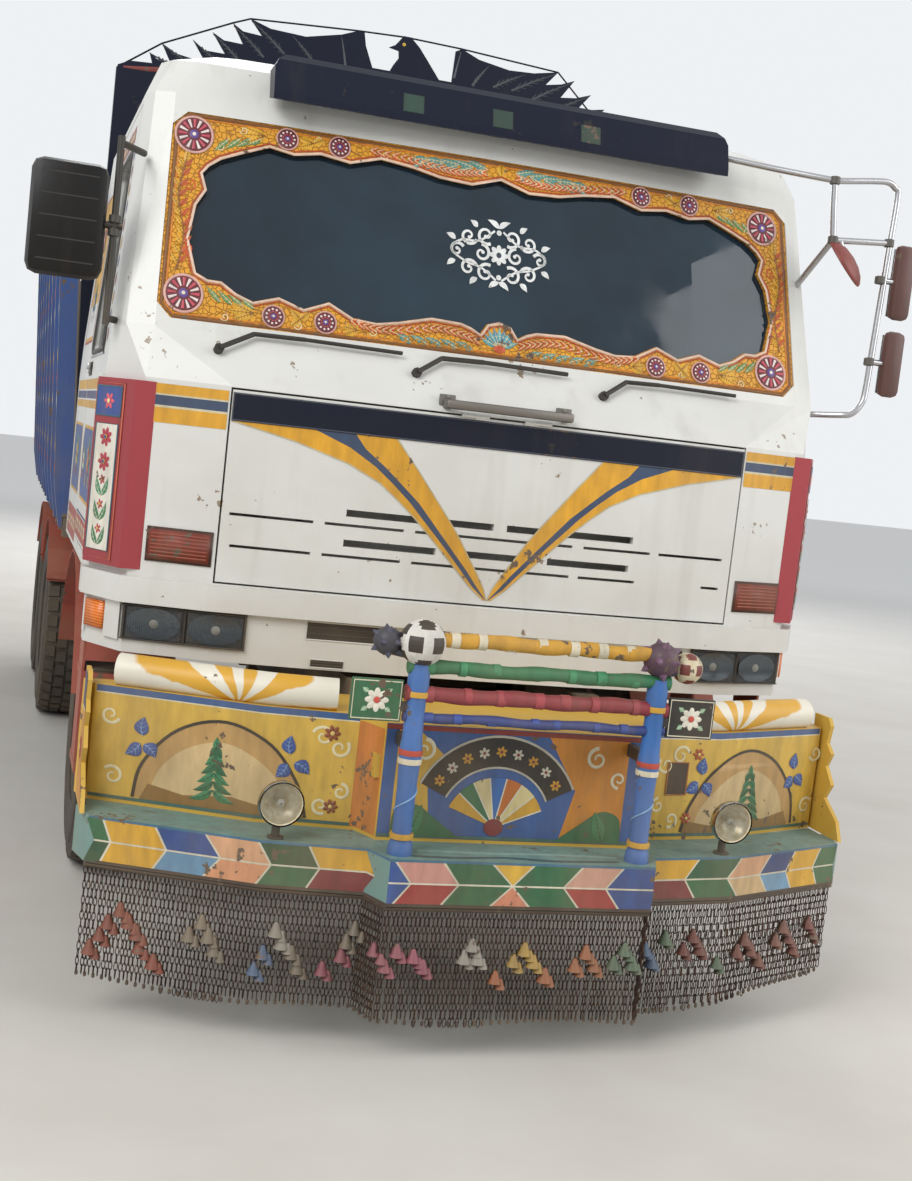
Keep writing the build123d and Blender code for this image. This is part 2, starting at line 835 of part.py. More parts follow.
# Dashboard with the steering column and wheel on the driver's side
wheel_x = -seat_x
wheel_place = 760
wheel_level = 1960
with BuildPart() as dashboard:
    with BuildSketch(Plane.YZ.offset(-1120)):
        with BuildLine():
            Polyline(
                (back(firewall + 12), 1600),
                (back(firewall + 12), 1885),
                (back(300), 1960),
                (back(470), 1900),
                (back(430), 1600),
                close=True,
            )
        make_face()
    extrude(amount=2240)
    add(cab_volume(wall + seat_gap), mode=Mode.INTERSECT)
    column = Plane(origin=(wheel_x, back(wheel_place), wheel_level), z_dir=(0, 0.42, 0.9))
    with BuildSketch(column):
        RegularPolygon(238, 12)
        RegularPolygon(208, 12, mode=Mode.SUBTRACT)
        RegularPolygon(40, 6)
        for turn in (0, 120, 240):
            with Locations(Location((0, 0, 0), turn)):
                with Locations((112, 0)):
                    Rectangle(215, 24)
    extrude(amount=24, both=True)
    rod((wheel_x, 420, 1640), (wheel_x, wheel_place, wheel_level), 28)
save(dashboard.part, "dashboard")

# Steps and wheel arches under the doors
arch_radius = 660
arch_sheet = 5
arch_inner = 870
arch_outer = 1222
with BuildPart() as cab_steps:
    for side in (-1, 1):
        bent_sheet(side, front_axle, arch_radius, arch_sheet, 20, 160, 9, arch_inner, arch_outer)
        for place in (front_axle - 120, front_axle + 120):
            block(
                sorted((side * (arch_inner + 20), side * (arch_inner + 60))),
                (place - 20, place + 20),
                (axle_height + arch_radius - 20, sill_height),
            )
            block(
                sorted((side * (arch_inner + 20), side * (arch_inner + 60))),
                (place - 21, place + 21),
                (0, axle_height + arch_radius - 30),
                mode=Mode.SUBTRACT,
            )
        for level in (560, 860):
            block(sorted((side * 940, side * 1215)), (300, 540), (level, level + 28))
        for x in (945, 1205):
            block(sorted((side * x, side * (x + 8))), (335, 520), (560, sill_height))
save(cab_steps.part, "cab_steps")

# Bumper. Columns of its plan: x and place of the band's front edge, for the right half.
band_plan = ((400, -bumper_reach), (440, -600), (735, -550), (1200, -350))
band_rear = -230
panel_rear = -70


def bumper_outline(set_back, rear, widen=0):
    """The bumper's plan, with its front edge moved back and its ends widened."""
    with BuildSketch() as outline:
        with BuildLine():
            right = [(x + (widen if x > 1000 else 0), back(y + set_back)) for x, y in band_plan]
            left = [(-x, y) for x, y in reversed(right)]
            ends = [(right[-1][0] + 30, back(rear)), (-right[-1][0] - 30, back(rear))]
            Polyline(*left, *right, *ends, close=True)
        make_face()
    return outline.sketch


with BuildPart() as bumper_band:
    with BuildSketch(Plane.XY.offset(band_low)):
        add(bumper_outline(0, band_rear))
    extrude(amount=band_high - band_low)
    with BuildSketch(Plane.XY.offset(band_low - 1)):
        add(bumper_outline(60, band_rear + 40))
    extrude(amount=band_high - band_low - sheet + 1, mode=Mode.SUBTRACT)
save(bumper_band.part, "bumper_band")

# Outline of the scroll plates: place, and height over the band
scroll_outline = (
    (-80, 0),
    (-80, 385),
    (-170, 385),
    (-190, 360),
    (-178, 300),
    (-215, 270),
    (-190, 225),
    (-240, 170),
    (-205, 120),
    (-300, 60),
    (-330, 0),
)
with BuildPart() as bumper_panels:
    with BuildSketch(Plane.XY.offset(band_high)):
        add(bumper_outline(panel_set_back, panel_rear))
    extrude(amount=panel_high - band_high)
    with BuildSketch(Plane.XY.offset(band_high - 1)):
        add(bumper_outline(panel_set_back + 20, panel_rear + 60))
    extrude(amount=panel_high - band_high - sheet + 1, mode=Mode.SUBTRACT)
    # Braces from the frame's nose to the panels
    for side in (-1, 1):
        block(
            sorted((side * (rail_half - 60), side * rail_half)),
            (-bumper_reach + panel_set_back + 10, rail_front),
            (rail_bottom + 40, rail_bottom + 110),
        )
    # Fat tubes lying along the wings
    wing_tube = 47
    tube_level = panel_high + wing_tube - 4
    for side in (-1, 1):
        route = (
            (side * 1130, -130),
            (side * 735, -300),
            (side * 520, -340),
        )
        for first, second in zip(route, route[1:]):
            rod((*first, tube_level), (*second, tube_level), wing_tube)
    # Upright scroll plates at both ends
    for side in (-1, 1):
        with BuildSketch(Plane.YZ.offset(side * 1212)):
            with BuildLine():
                Polyline(*[(back(y), band_high + z) for y, z in scroll_outline], close=True)
            make_face()
        extrude(amount=side * 13)
save(bumper_panels.part, "bumper_panels")

# Bull bar: two posts, three cross tubes and the ball finials
bar_place = -bumper_reach + post_set_back
ball_radius = 66
ball_level = 1192
# Rows of the bull bar's tubes: height, radius
tube_rows = ((1205, 22), (1125, 20), (1048, 22), (982, 14))
with BuildPart() as bull_bar:
    for side in (-1, 1):
        rod((side * post_x, bar_place, band_high), (side * post_x, bar_place, post_top), post_radius)
        # Stay from the post back to the painted panel
        block(
            (side * post_x - 12, side * post_x + 12),
            (bar_place, -bumper_reach + panel_set_back),
            (panel_high - 60, panel_high - 20),
        )
        ball(side * post_x, bar_place, ball_level, ball_radius)
        ball(side * (post_x + 95), bar_place + 20, ball_level - 5, 46, 6)
        rod(
            (side * post_x, bar_place, ball_level - 40),
            (side * (post_x + 95), bar_place + 20, ball_level - 25),
            14,
            sides=6,
        )
        block(
            sorted((side * (post_x + 40), side * (post_x + 190))),
            (bar_place - 6, bar_place + 6),
            (panel_high + 30, panel_high + 150),
        )
        block(
            sorted((side * post_x, side * (post_x + 50))),
            (bar_place - 6, bar_place + 6),
            (panel_high + 60, panel_high + 90),
        )
    for level, radius in tube_rows:
        rod((-post_x, bar_place, level), (post_x, bar_place, level), radius)
save(bull_bar.part, "bull_bar")

# Chain fringe: strands hanging from a bar under the band's front edge
strand_pitch = 64
strand_width = 34
strand_depth = 10
fringe_set_back = 18
strand_levels = (band_low - fringe_drop, band_low - 14)
with BuildPart() as chain_fringe:
    corners = [(-x, y + fringe_set_back) for x, y in reversed(band_plan)]
    corners += [(x, y + fringe_set_back) for x, y in band_plan]
    for first, second in zip(corners, corners[1:]):
        length = hypot(second[0] - first[0], second[1] - first[1])
        count = max(1, int(length / strand_pitch))
        middle = Vector((first[0] + second[0]) / 2, back((first[1] + second[1]) / 2), band_low - 8)
        turn = degrees(atan2(second[1] - first[1], second[0] - first[0]))
        with Locations(Location(middle, (0, 0, turn))):
            Box(length + 14, 14, 15.6)
            with GridLocations(strand_pitch, 1, count, 1):
                with Locations((0, 0, -fringe_drop / 2)):
                    Box(strand_width, strand_depth, fringe_drop)
save(chain_fringe.part, "chain_fringe")

# Mirrors: a tube along the left pillar with a tall head, and a tube frame on the right with three heads
mirror_reach = mirror_span / 2
tube = 11
mirror_place = 190
mirror_level = 2290
with BuildPart() as mirror_left:
    rod((-1245, mirror_place, 1990), (-1245, mirror_place, 2560), tube, sides=6)
    rod((-1245, mirror_place, 2010), (-1205, 262, 2010), tube, sides=6)
    rod((-1245, mirror_place, 2540), (-1165, 330, 2540), tube, sides=6)
    rod((-1245, mirror_place, mirror_level), (-1290, mirror_place, mirror_level), tube, sides=6)
    with BuildSketch(Plane.XZ.offset(-back(mirror_place - 38))):
        with Locations((-(mirror_reach + 1270) / 2, mirror_level)):
            Rectangle(mirror_reach - 1270, 350)
        chamfer(vertices(), 38)
    extrude(amount=-76)
    add(cab_outside, mode=Mode.SUBTRACT)
save(mirror_left.part, "mirror_left")

frame_place = 160
with BuildPart() as mirror_right:
    for start, end in (
        ((798, 345, 2840), (1150, frame_place, 2790)),
        ((1150, frame_place, 2790), (1360, frame_place, 2820)),
        ((1360, frame_place, 2820), (1400, frame_place, 2780)),
        ((1400, frame_place, 2780), (1375, frame_place, 2060)),
        ((1375, frame_place, 2060), (1320, frame_place, 2000)),
        ((1320, frame_place, 2000), (1190, 262, 1990)),
        ((1150, frame_place, 2790), (1172, frame_place, 2590)),
        ((1172, frame_place, 2590), (1390, frame_place, 2610)),
        ((1172, frame_place, 2590), (1130, 330, 2420)),
    ):
        rod(start, end, tube, sides=5)
    rod((1230, frame_place - 30, 2520), (1230, frame_place + 10, 2520), 95, sides=12)
    rod((1230, frame_place, 2520), (1200, frame_place, 2590), tube, sides=5)
    for low, high in ((2350, 2610), (2080, 2310)):
        block((mirror_reach - 80, mirror_reach), (frame_place - 25, frame_place + 25), (low, high))
        level = (low + high) / 2
        rod((1374, frame_place, level), (mirror_reach - 60, frame_place, level), tube, sides=5)
    add(cab_outside, mode=Mode.SUBTRACT)
save(mirror_right.part, "mirror_right")

# Front lid with its pressed slots. Columns: height, slot height, and the ends of each slot.
lid_slots = (
    (1459, 9, ((-837, -579), (-544, -293), (-257, 273), (312, 553), (585, 827))),
    (1497, 22, ((-480, -2), (42, 486))),
    (1403, 22, ((-480, -184), (-144, 156), (191, 480))),
    (1361, 9, ((-828, -579), (-544, -295), (-259, 272), (304, 508), (759, 826))),
)
with BuildPart() as front_lid:
    add(cab_outside)
    add(cab_volume(lid_thickness), mode=Mode.SUBTRACT)
    block((-lid_half, lid_half), (-200, 100), (lid_low, lid_high), mode=Mode.INTERSECT)
    for level, height, ends in lid_slots:
        for start, end in ends:
            block((start, end), (-200, 100), (level - height / 2, level + height / 2), mode=Mode.SUBTRACT)
    for side in (-1, 1):
        rod(
            (side * lid_hinge_x, lid_hinge_place, lid_hinge_height),
            (side * (lid_hinge_x + hinge_barrel), lid_hinge_place, lid_hinge_height),
            lid_hinge_radius,
        )
        block(
            sorted((side * lid_hinge_x, side * (lid_hinge_x + hinge_barrel))),
            (lid_hinge_place, -40),
            (lid_high - 6, lid_high),
        )
save(front_lid.part, "front_lid")

# Doors with window openings, and their glass
for side, name in ((-1, "left"), (1, "right")):
    with BuildSketch() as window_shape:
        with BuildLine():
            Polyline(
                (back(door_front + 170), window_sill),
                (back(door_rear - 70), window_sill),
                (back(door_rear - 70), 2600),
                (back(door_front + 330), 2600),
                close=True,
            )
        make_face()
        chamfer(window_shape.vertices(), 30)
    with BuildPart() as window_prism:
        with BuildSketch(Plane.YZ.offset(side * 900)):
            add(window_shape.sketch)
        extrude(amount=side * 500)
    with BuildPart() as door:
        add(cab_skin.part)
        block(
            sorted((side * 900, side * 1300)),
            (door_front, door_rear),
            (sill_height + 46, roof_seam - 6),
            mode=Mode.INTERSECT,
        )
        add(front_zone(6), mode=Mode.SUBTRACT)
        add(window_prism.part, mode=Mode.SUBTRACT)
        for level in door_hinge_levels:
            rod(
                (side * door_hinge_x, door_hinge_place, level - hinge_barrel),
                (side * door_hinge_x, door_hinge_place, level - seat_gap / 2),
                door_hinge_radius,
            )
            block(
                sorted((side * (door_hinge_x - door_hinge_radius), side * (door_hinge_x + 2))),
                (door_hinge_place, door_front + 40),
                (level - hinge_barrel, level - seat_gap / 2),
            )
    save(door.part, f"door_{name}")
    with BuildPart() as door_glass:
        add(cab_volume(18))
        add(cab_volume(23), mode=Mode.SUBTRACT)
        add(window_prism.part, mode=Mode.INTERSECT)
    save(door_glass.part, f"door_glass_{name}")

# Steering knuckles: a yoke over the axle's eye, a kingpin and a spindle; and the track rod
yoke_gap = 5
yoke_lug = 36
wheel_x_front = front_track / 2
for side, name in ((-1, "left"), (1, "right")):
    with BuildPart() as knuckle:
        lug_top = axle_height + eye_half + yoke_gap
        lug_low = axle_height - eye_half - yoke_gap - yoke_lug
        for level in (lug_top, lug_low):
            rod(
                (side * kingpin_x, front_axle, level),
                (side * kingpin_x, front_axle, level + yoke_lug),
                eye_radius,
            )
            block(
                sorted((side * kingpin_x, side * (kingpin_x + 90))),
                (front_axle - 40, front_axle + 40),
                (level, level + yoke_lug),
            )
        rod(
            (side * kingpin_x, front_axle, lug_low),
            (side * kingpin_x, front_axle, lug_top + yoke_lug),
            kingpin_radius,
        )
        block(
            sorted((side * (kingpin_x + 54), side * (kingpin_x + 90))),
            (front_axle - 50, front_axle + 50),
            (lug_low, lug_top + yoke_lug),
        )
        rod(
            (side * (kingpin_x + 85), front_axle, axle_height),
            (side * (wheel_x_front + 90), front_axle, axle_height),
            spindle_radius,
        )
        block(
            sorted((side * (kingpin_x - 25), side * (kingpin_x + 25))),
            (front_axle, front_axle + 235),
            (lug_low, lug_low + 26),
        )
    save(knuckle.part, f"knuckle_{name}")
with BuildPart() as track_rod:
    rod_level = axle_height - eye_half - yoke_gap - yoke_lug - seat_gap - 17
    rod(
        (-kingpin_x, front_axle + 205, rod_level),
        (kingpin_x, front_axle + 205, rod_level),
        17,
    )
save(track_rod.part, "track_rod")

# Wheels. Columns: name, centre of the wheel across the truck, axle place, bore radius, tyre centres.
hub_reach = 95
wheel_rows = (
    ("front", wheel_x_front, front_axle, spindle_radius, (wheel_x_front,)),
    ("mid", outer_twin_x, mid_axle, axle_tube, (outer_twin_x, inner_twin_x)),
    ("rear", outer_twin_x, rear_axle, axle_tube, (outer_twin_x, inner_twin_x)),
)
tyre_sides = 20
rim_sides = 12
bore_sides = 8
bead_half = 95
lip = 14
sidewall_radius = 400
tread_half = 112
disc_half = 6
rim_wall = 12
hub_radius = 130


for place_name, hub_x, place, bore_radius, tyre_places in wheel_rows:
    for side, name in ((-1, "left"), (1, "right")):
        with BuildPart() as tyre:
            for x in tyre_places:
                half = tyre_width / 2
                treads = (
                    (x - half, sidewall_radius),
                    (x - tread_half, tyre_radius),
                    (x + tread_half, tyre_radius),
                    (x + half, sidewall_radius),
                )
                turned(side, place, treads, tyre_sides)
                hole = ((x - half, rim_radius + seat_gap), (x + half, rim_radius + seat_gap))
                turned(side, place, hole, rim_sides, Mode.SUBTRACT)
        save(tyre.part, f"tyre_{place_name}_{name}")
        with BuildPart() as rim:
            for x in tyre_places:
                ends = (x - bead_half - lip, x + bead_half + lip)
                turned(side, place, [(end, rim_radius) for end in ends], rim_sides)
                for face in (-1, 1):
                    disc = x + (20 if x == hub_x else -20) + face * disc_half
                    hollow = [(disc, rim_radius - rim_wall), (ends[face > 0] + face, rim_radius - rim_wall)]
                    turned(side, place, hollow, rim_sides, Mode.SUBTRACT)
            hub_foot = min(tyre_places) - 40
            hub_head = hub_x + hub_reach
            hub = (
                (hub_foot, hub_radius),
                (hub_head - 60, hub_radius),
                (hub_head - 40, 90),
                (hub_head + 25, 80),
            )
            turned(side, place, hub, bore_sides)
            turned(
                side,
                place,
                [(end, bore_radius + pin_clearance) for end in (hub_foot - 1, hub_head + 26)],
                bore_sides,
                Mode.SUBTRACT,
            )
        save(rim.part, f"rim_{place_name}_{name}")

# Load bed: floor on beams, with ears round the hinge pin
gate_thickness = 60
bed_rear = tail_end - gate_thickness - tailgate_gap
gate_hinge_place = bed_rear + tailgate_gap + gate_thickness / 2
gate_hinge_height = bed_side_top + 30
gate_pin_radius = 14
beam_low = rail_top + bed_clearance
beam_high = 1140
cross_low = beam_high + seat_gap
plate_low = bed_floor_top - 15
with BuildPart() as bed_floor:
    block((-bed_half, bed_half), (bed_front, bed_rear), (plate_low, bed_floor_top))
save(bed_floor.part, "bed_floor")

# Beams under the floor: two runners, bearers across them, and the ears for hinge and hoist
bearer_count = 12
bearer_half = 25
ear_top = plate_low - seat_gap
with BuildPart() as bed_beams:
    for side in (-1, 1):
        block(
            sorted((side * 345, side * 415)),
            (bed_front + 20, bed_pivot_back - 85),
            (beam_low, beam_high),
        )
    for number in range(bearer_count):
        place = bed_front + 30 + number * (bed_rear - bed_front - 60) / (bearer_count - 1)
        block(
            (-bed_half + 5, bed_half - 5),
            (place - bearer_half, place + bearer_half),
            (cross_low, ear_top),
        )
    for side in (-1, 1):
        block(
            sorted((side * (rail_half + 6), side * (rail_half + 36))),
            (bed_pivot_back - 65, bed_pivot_back + 65),
            (bed_pivot_height - 52, ear_top),
        )
        bore(
            (side * (rail_half + 5), bed_pivot_back, bed_pivot_height),
            (side * (rail_half + 37), bed_pivot_back, bed_pivot_height),
            bed_pin_radius,
        )
        # Ears for the hoist's rod, on both sides of its eye
        block(
            sorted((side * 50, side * 70)),
            (hoist_eye - 55, hoist_eye + 55),
            (hoist_eye_height - 50, ear_top),
        )
save(bed_beams.part, "bed_beams")

# Side walls: flared sheets with pressed posts, and a rail along the top
post_depth = 45
post_width = 90
post_count = 9
with BuildPart() as bed_sides:
    for side in (-1, 1):
        with BuildSketch(Plane.XZ.offset(-back(bed_front))):
            with BuildLine():
                Polyline(
                    (side * (bed_half - bed_wall + 4), bed_floor_top),
                    (side * bed_half, bed_floor_top),
                    (side * bed_half, bed_floor_top + 120),
                    (side * (bed_half + bed_flare), bed_side_top),
                    (side * (bed_half + bed_flare - bed_wall), bed_side_top),
                    (side * (bed_half - bed_wall + 4), bed_floor_top + 120),
                    close=True,
                )
            make_face()
        extrude(amount=-(bed_rear - bed_front))
        for number in range(post_count):
            place = bed_front + 60 + number * (bed_rear - bed_front - 120) / (post_count - 1)
            with BuildSketch(Plane.XZ.offset(-back(place - post_width / 2))):
                with BuildLine():
                    Polyline(
                        (side * bed_half, bed_floor_top - 60),
                        (side * (bed_half + 14), bed_floor_top - 60),
                        (side * (bed_half + post_depth), bed_floor_top + 120),
                        (side * (bed_half + bed_flare + post_depth), bed_side_top),
                        (side * (bed_half + bed_flare - 10), bed_side_top),
                        (side * bed_half, bed_floor_top + 120),
                        close=True,
                    )
                make_face()
            extrude(amount=-post_width)
        block(
            sorted((side * (bed_half + bed_flare - bed_wall - 5), side * (bed_half + bed_flare + post_depth))),
            (bed_front, bed_rear),
            (bed_side_top - 1, bed_side_top + 60),
        )
        # Ear and pin that the tailgate hangs from
        ear = bed_half + bed_flare - bed_wall
        block(
            sorted((side * ear, side * (ear + 20))),
            (bed_rear - 5, gate_hinge_place + 26),
            (gate_hinge_height - 26, gate_hinge_height + 26),
        )
        rod(
            (side * (bed_half - 45), gate_hinge_place, gate_hinge_height),
            (side * (ear + 10), gate_hinge_place, gate_hinge_height),
            gate_pin_radius,
        )
save(bed_sides.part, "bed_sides")

# Headboard with its crown: feathers, two wings and a bird's head. Columns: x, height.
crown_edge = (
    (-1165, 3190),
    (-1165, 3212),
    (-1115, 3236),
    (-1020, 3242),
    (-1035, 3287),
    (-1000, 3262),
    (-945, 3262),
    (-985, 3333),
    (-920, 3300),
    (-790, 3282),
    (-855, 3372),
    (-800, 3335),
    (-710, 3335),
    (-772, 3418),
    (-720, 3392),
    (-635, 3390),
    (-687, 3472),
    (-640, 3445),
    (-555, 3440),
    (-612, 3505),
    (-520, 3478),
    (-360, 3472),
    (-200, 3510),
    (-130, 3538),
    (-97, 3538),
    (-85, 3480),
    (-45, 3390),
    (35, 3390),
    (50, 3420),
    (72, 3455),
    (68, 3485),
    (22, 3493),
    (50, 3508),
    (85, crown_top - 2),
    (120, crown_top - 2),
    (165, 3515),
    (210, 3462),
    (270, 3390),
    (330, 3390),
    (335, 3530),
    (365, 3545),
    (450, 3512),
    (600, 3490),
    (720, 3497),
    (840, 3522),
    (785, 3455),
    (860, 3470),
    (925, 3497),
    (865, 3410),
    (940, 3420),
    (1015, 3447),
    (950, 3365),
    (1090, 3392),
    (1020, 3305),
    (1150, 3330),
    (1085, 3250),
    (1165, 3250),
    (1165, 3190),
)
# Rod over the tips. Columns: x, height.
crown_rod = (
    (-1160, 3205),
    (-985, 3333),
    (-687, 3474),
    (-612, 3505),
    (-130, 3540),
    (100, crown_top - 5),
    (360, 3546),
    (840, 3522),
    (1160, 3245),
)
crown_rod_radius = 4
crown_sheet = 8
with BuildPart() as headboard:
    board_half = bed_half + bed_flare - bed_wall - 6
    with BuildSketch(Plane.XZ.offset(-back(bed_front))):
        with BuildLine():
            Polyline(
                (-bed_half + bed_wall - 1, bed_floor_top),
                (bed_half - bed_wall + 1, bed_floor_top),
                (bed_half - bed_wall + 1, bed_floor_top + 120),
                (board_half, bed_side_top),
                (board_half, bed_side_top + 60),
                (1170, bed_side_top + 160),
                (1170, headboard_top),
                (-1170, headboard_top),
                (-1170, bed_side_top + 160),
                (-board_half, bed_side_top + 60),
                (-board_half, bed_side_top),
                (-bed_half + bed_wall - 1, bed_floor_top + 120),
                close=True,
            )
        make_face()
    extrude(amount=-40)
    with BuildSketch(Plane.XZ.offset(-back(bed_front + 16))):
        with BuildLine():
            Polyline(*crown_edge, close=True)
        make_face()
    extrude(amount=-crown_sheet)
    rod_place = bed_front + 16 + crown_sheet / 2
    for first, second in zip(crown_rod, crown_rod[1:]):
        rod((first[0], rod_place, first[1]), (second[0], rod_place, second[1]), crown_rod_radius, sides=4)
save(headboard.part, "headboard")

# Tailgate hung from its top edge
with BuildPart() as tailgate:
    gate_half = bed_half + bed_flare + post_depth
    block(
        (-bed_half, bed_half),
        (bed_rear + tailgate_gap, bed_rear + tailgate_gap + 30),
        (bed_floor_top - 60, bed_side_top),
    )
    for side in (-1, 1):
        for x in (0, bed_half - 60):
            block(
                sorted((side * (x + 10), side * (x + 60))) if x else (-30, 30),
                (bed_rear + tailgate_gap + 29, tail_end),
                (bed_floor_top - 60, bed_side_top),
            )
    for level in (bed_floor_top - 60, 1700, 2150, bed_side_top - 60):
        block((-bed_half, bed_half), (bed_rear + tailgate_gap + 29, tail_end), (level, level + 60))
    for side in (-1, 1):
        block(
            sorted((side * (bed_half - 40), side * (bed_half - 5))),
            (bed_rear + tailgate_gap, tail_end),
            (bed_side_top - 1, gate_hinge_height + 26),
        )
        bore(
            (side * (bed_half - 46), gate_hinge_place, gate_hinge_height),
            (side * bed_half, gate_hinge_place, gate_hinge_height),
            gate_pin_radius,
        )
save(tailgate.part, "tailgate")

# Hoist: a barrel pinned to the chassis, and a rod whose eye meets the bed's ears
hoist_run = hypot(hoist_eye - hoist_foot, hoist_eye_height - hoist_foot_height)
hoist_y = (hoist_eye - hoist_foot) / hoist_run
hoist_z = (hoist_eye_height - hoist_foot_height) / hoist_run


def along_hoist(distance):
    """A point on the hoist's line, that far from its foot pin."""
    return (0, hoist_foot + distance * hoist_y, hoist_foot_height + distance * hoist_z)


barrel_start = 60
barrel_end = hoist_run - 130
with BuildPart() as hoist_barrel:
    rod(along_hoist(barrel_start), along_hoist(barrel_end), barrel_radius)
    block((-38, 38), (hoist_foot - 35, hoist_foot + 80), (hoist_foot_height - 38, hoist_foot_height + 38))
    bore(along_hoist(120), along_hoist(barrel_end + 1), ram_radius)
    bore(
        (-60, hoist_foot, hoist_foot_height),
        (60, hoist_foot, hoist_foot_height),
        hoist_pin_radius,
    )
save(hoist_barrel.part, "hoist_barrel")
with BuildPart() as hoist_rod:
    rod(along_hoist(125), along_hoist(hoist_run - 75), ram_radius)
    rod(along_hoist(hoist_run - 80), along_hoist(hoist_run - 20), 28)
    rod((-44, hoist_eye, hoist_eye_height), (44, hoist_eye, hoist_eye_height), 44)
save(hoist_rod.part, "hoist_rod")
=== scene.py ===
import math
import random

import bmesh
import bpy
from mathutils import Matrix, Vector
from mathutils.bvhtree import BVHTree
from mathutils.geometry import tessellate_polygon


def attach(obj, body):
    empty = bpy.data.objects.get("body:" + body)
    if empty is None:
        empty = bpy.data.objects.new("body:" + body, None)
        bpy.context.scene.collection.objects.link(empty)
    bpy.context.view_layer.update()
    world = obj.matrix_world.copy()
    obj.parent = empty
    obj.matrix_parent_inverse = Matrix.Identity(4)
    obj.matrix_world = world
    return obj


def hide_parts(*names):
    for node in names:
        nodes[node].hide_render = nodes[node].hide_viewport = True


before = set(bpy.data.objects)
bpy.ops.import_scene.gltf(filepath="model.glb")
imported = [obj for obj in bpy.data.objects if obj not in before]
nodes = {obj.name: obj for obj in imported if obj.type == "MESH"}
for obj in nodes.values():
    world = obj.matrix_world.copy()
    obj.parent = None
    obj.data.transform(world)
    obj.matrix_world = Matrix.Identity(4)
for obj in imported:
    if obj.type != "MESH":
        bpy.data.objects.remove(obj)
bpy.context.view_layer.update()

scene = bpy.context.scene
chance = random.Random(11)
front_y = -3.15  # the cab's front plane
both_sides = ((-1, "left"), (1, "right"))


# Colours and materials


def tone(code):
    """A linear colour from a hex code as seen on screen."""
    parts = [int(code[n : n + 2], 16) / 255 for n in (1, 3, 5)]
    return tuple(p / 12.92 if p <= 0.04045 else ((p + 0.055) / 1.055) ** 2.4 for p in parts)


def shade(colour, factor):
    return tuple(min(1.0, c * factor) for c in colour)


class Shade:
    """A procedural material, with its places in metres in the truck's own frame."""

    def __init__(self, name):
        self.mat = bpy.data.materials.new(name)
        self.mat.use_nodes = True
        self.tree = self.mat.node_tree
        self.shader = self.tree.nodes["Principled BSDF"]
        self.place = self.make("TexCoord").outputs["Object"]
        self.x, self.y, self.z = self.make("SeparateXYZ", {0: self.place}).outputs

    def make(self, kind, inputs=None, **settings):
        node = self.tree.nodes.new("ShaderNode" + kind)
        for key, value in settings.items():
            setattr(node, key, value)
        for key, value in (inputs or {}).items():
            self.put(node.inputs[key], value)
        return node

    def put(self, socket, value):
        if isinstance(value, bpy.types.NodeSocket):
            self.tree.links.new(value, socket)
        elif socket.type == "RGBA" and len(value) == 3:
            socket.default_value = (*value, 1)
        else:
            socket.default_value = value

    def math(self, operation, a, b=0.0, clamp=False):
        return self.make("Math", {0: a, 1: b}, operation=operation, use_clamp=clamp).outputs[0]

    def times(self, a, b):
        return self.math("MULTIPLY", a, b)

    def plus(self, a, b):
        return self.math("ADD", a, b)

    def less(self, a, b):
        return self.math("SUBTRACT", a, b)

    def wave(self, value, pitch):
        return self.math("SINE", self.times(value, pitch))

    def mix(self, share, a, b, blend="MIX"):
        return self.make("Mix", {0: share, 6: a, 7: b}, data_type="RGBA", blend_type=blend).outputs[2]

    def ramp(self, value, low, high):
        """0 below low and 1 above high, or the other way round where low is above high."""
        return self.make("MapRange", {0: value, 1: low, 2: high, 3: 0.0, 4: 1.0}).outputs[0]

    def noise(self, scale, detail=4.0, stretch=None):
        place = self.place
        if stretch:
            place = self.make("Mapping", {"Vector": place, "Scale": stretch}).outputs[0]
        inputs = {"Vector": place, "Scale": scale, "Detail": detail, "Roughness": 0.55}
        return self.make("TexNoise", inputs).outputs[0]

    def cloud(self, scale, detail, low, high, first, second):
        """Two colours that change over in a noise's range."""
        return self.mix(self.ramp(self.noise(scale, detail), low, high), tone(first), tone(second))

    def bump(self, height, strength=0.3, distance=0.002):
        made = self.make("Bump", {"Height": height, "Strength": strength, "Distance": distance})
        self.put(self.shader.inputs["Normal"], made.outputs[0])

    def finish(self, colour, rough, **values):
        self.put(self.shader.inputs["Base Color"], colour)
        self.put(self.shader.inputs["Roughness"], rough)
        for key, value in values.items():
            self.put(self.shader.inputs[key.replace("_", " ")], value)
        return self.mat


dust_tone = tone("#a08a6c")


def weather(s, colour, rough, dust=0.3, mottle=0.08, chips=0.0, under="#5b4a3c", streaks=0.2, bump=0.12):
    """Lays colour drift, streaks, chips and road dust over a colour, and returns (colour, roughness)."""
    drift = s.ramp(s.noise(2.6), 0.32, 0.68)
    out = s.mix(s.times(drift, 2 * mottle), colour, s.mix(0.5, colour, tone("#6d6255"), "MULTIPLY"))
    if streaks:
        run = s.ramp(s.noise(9.0, 5.0, (1.0, 1.0, 0.09)), 0.56, 0.8)
        out = s.mix(s.times(run, streaks), out, tone("#776a58"))
    grain = s.noise(38.0, 6.0)
    if chips:
        patch = s.times(s.noise(5.5, 3.0), grain)
        out = s.mix(s.ramp(patch, 0.42 - 0.12 * chips, 0.435 - 0.12 * chips), out, tone(under))
    spread = s.times(s.ramp(s.z, 2.4, 0.35), s.ramp(s.noise(4.0, 6.0), 0.3, 0.75))
    film = s.math("MULTIPLY", s.plus(spread, 0.12), dust, clamp=True)
    rougher = s.math("ADD", s.times(film, 0.5), rough, clamp=True)
    rougher = s.math("ADD", s.times(grain, 0.08), rougher, clamp=True)
    s.bump(s.plus(grain, s.times(s.noise(140.0, 2.0), 0.4)), bump, 0.001)
    return s.mix(film, out, dust_tone), rougher


